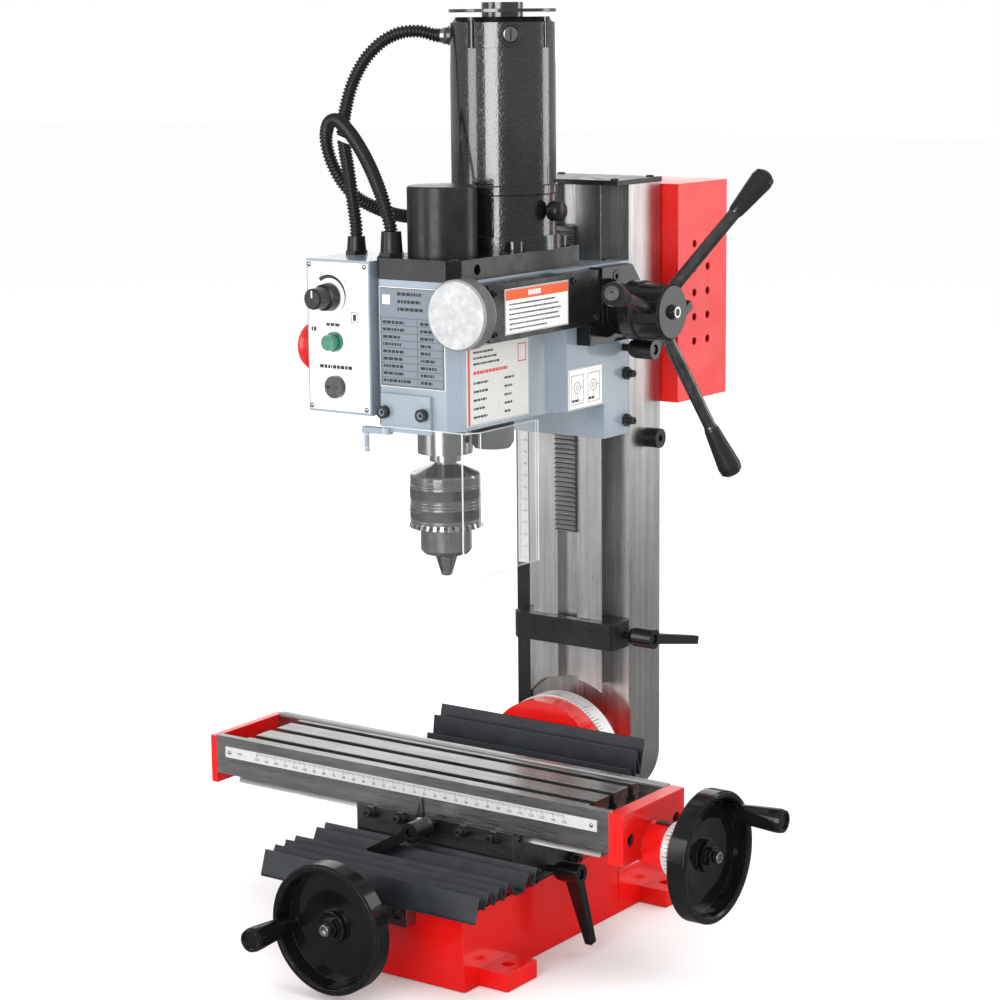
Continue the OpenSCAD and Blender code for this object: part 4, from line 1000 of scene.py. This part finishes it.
cap_screw("hub end screw", (111.6, *CAPSTAN_AXIS[1:]), "x", 1, "capstan", 5.0, 3.0, bright_steel)

def box_faces(at):
    """The six faces of a bar whose two square ends start at point number at."""
    sides = [(at + k, at + (k + 1) % 4, at + 4 + (k + 1) % 4, at + 4 + k) for k in range(4)]
    return [(at + 3, at + 2, at + 1, at), (at + 4, at + 5, at + 6, at + 7)] + sides


# white strips along the edges and fold lines of the clear guard: painted highlights where light catches them
guard_glint = moulded("guard edge", (0.80, 0.84, 0.85), 0.08, 0.00001, 0.0, alpha=0.62)
edge_points, edge_faces = [], []
corners = ((-46, -112), (50, -112), (59, -101), (59, -26))
fold_section = ((-0.3, -0.3), (0.3, -0.3), (0.3, 0.3), (-0.3, 0.3))
rim_section = ((-0.25, -0.2), (0.25, -0.2), (0.25, 0.2), (-0.25, 0.2))
for x, y in corners[1:]:
    edge_faces += box_faces(len(edge_points))
    edge_points += [(x + a, y + b, z) for z in (306, 415) for a, b in fold_section]
for (x0, y0), (x1, y1) in zip(corners, corners[1:]):
    for z in (306.2, 414.8):
        if z > 400 and x0 < -40:  # the upper rim starts past the notch for the hinge
            x0 = -24
        edge_faces += box_faces(len(edge_points))
        edge_points += [(x, y + b, z + c) for x, y in ((x0, y0), (x1, y1)) for b, c in rim_section]
piece("guard edge highlights", mesh_from("guard edge highlights", edge_points, edge_faces, True), "guard", guard_glint)

stop_mark = Print((-124.6, -74, 466), (0, -1, 0), (0, 0, 1), 0.1)
for start in (20, 140, 260):
    stop_mark.arc(0, 0, 5.6, 1.1, start, start + 80, 14)
stop_mark.done("stop button arrows", "stop_button", white_ink)

# ---------- floor and light ----------
floor_mesh = bpy.data.meshes.new("floor")
reach, level = 12, -0.5 * MM
floor_mesh.from_pydata([(-reach, -reach, level), (reach, -reach, level), (reach, reach, level), (-reach, reach, level)],
                       [], [(0, 1, 2, 3)])
floor = placed("floor", floor_mesh)
pale = Finish("pale floor", (0.90, 0.90, 0.90), 0.0, 1.0, specular_ior_level=0.0)
# painted reflection: the floor is near white to the camera and to diffuse light but dark grey to gloss, so its
# reflections on the machine are painted dark
ray = pale.node("ShaderNodeLightPath").outputs["Is Glossy Ray"]
near_white = pale.mix(pale.noise(1.5, 2), (0.975, 0.975, 0.975), (0.985, 0.985, 0.985))
pale.use(base_color=pale.mix(ray, near_white, (0.16, 0.16, 0.16)))
floor_mesh.materials.append(pale.material)

bpy.context.scene.view_settings.view_transform = "Standard"
world = bpy.data.worlds.new("studio")
bpy.context.scene.world = world
world.use_nodes = True
sky = world.node_tree.nodes["Background"]
sky.inputs["Color"].default_value = (1, 1, 1, 1)
# the studio walls look dimmer in gloss than they do in plain sight, so that blacks stay deep
ray = world.node_tree.nodes.new("ShaderNodeLightPath")
dimmed = world.node_tree.nodes.new("ShaderNodeMapRange")
dimmed.inputs["To Min"].default_value = 1.0
dimmed.inputs["To Max"].default_value = 0.36
world.node_tree.links.new(ray.outputs["Is Glossy Ray"], dimmed.inputs["Value"])
world.node_tree.links.new(dimmed.outputs[0], sky.inputs["Strength"])


def soft_box(name, place, target, size, power, shows=True):
    """A lamp that the camera doesn't see, and that gloss shows only where asked."""
    lamp = bpy.data.lights.new(name, "AREA")
    lamp.shape = "RECTANGLE"
    lamp.size, lamp.size_y = size
    lamp.energy = power
    holder = placed(name, lamp)
    holder.location = place
    holder.rotation_euler = (Vector(target) - Vector(place)).to_track_quat("-Z", "Y").to_euler()
    holder.visible_camera = False
    holder.visible_glossy = shows


soft_box("front panel", (0.42, -2.36, 0.85), (0, 0, 0.45), (1.25, 1.9), 34)
soft_box("right panel", (1.5, 1.95, 0.8), (0, 0, 0.45), (0.9, 1.9), 11)
soft_box("left panel", (-1.45, -2.05, 0.8), (0, 0, 0.45), (0.9, 1.8), 13)
soft_box("back panel", (-1.5, 2.2, 1.15), (0, 0, 0.2), (1.8, 1.1), 7)
soft_box("side fill", (2.2, -0.3, 1.1), (0, 0, 0.35), (1.0, 1.6), 12, False)
soft_box("top fill", (0.2, -0.2, 2.4), (0, 0, 0.3), (1.6, 1.2), 8, False)
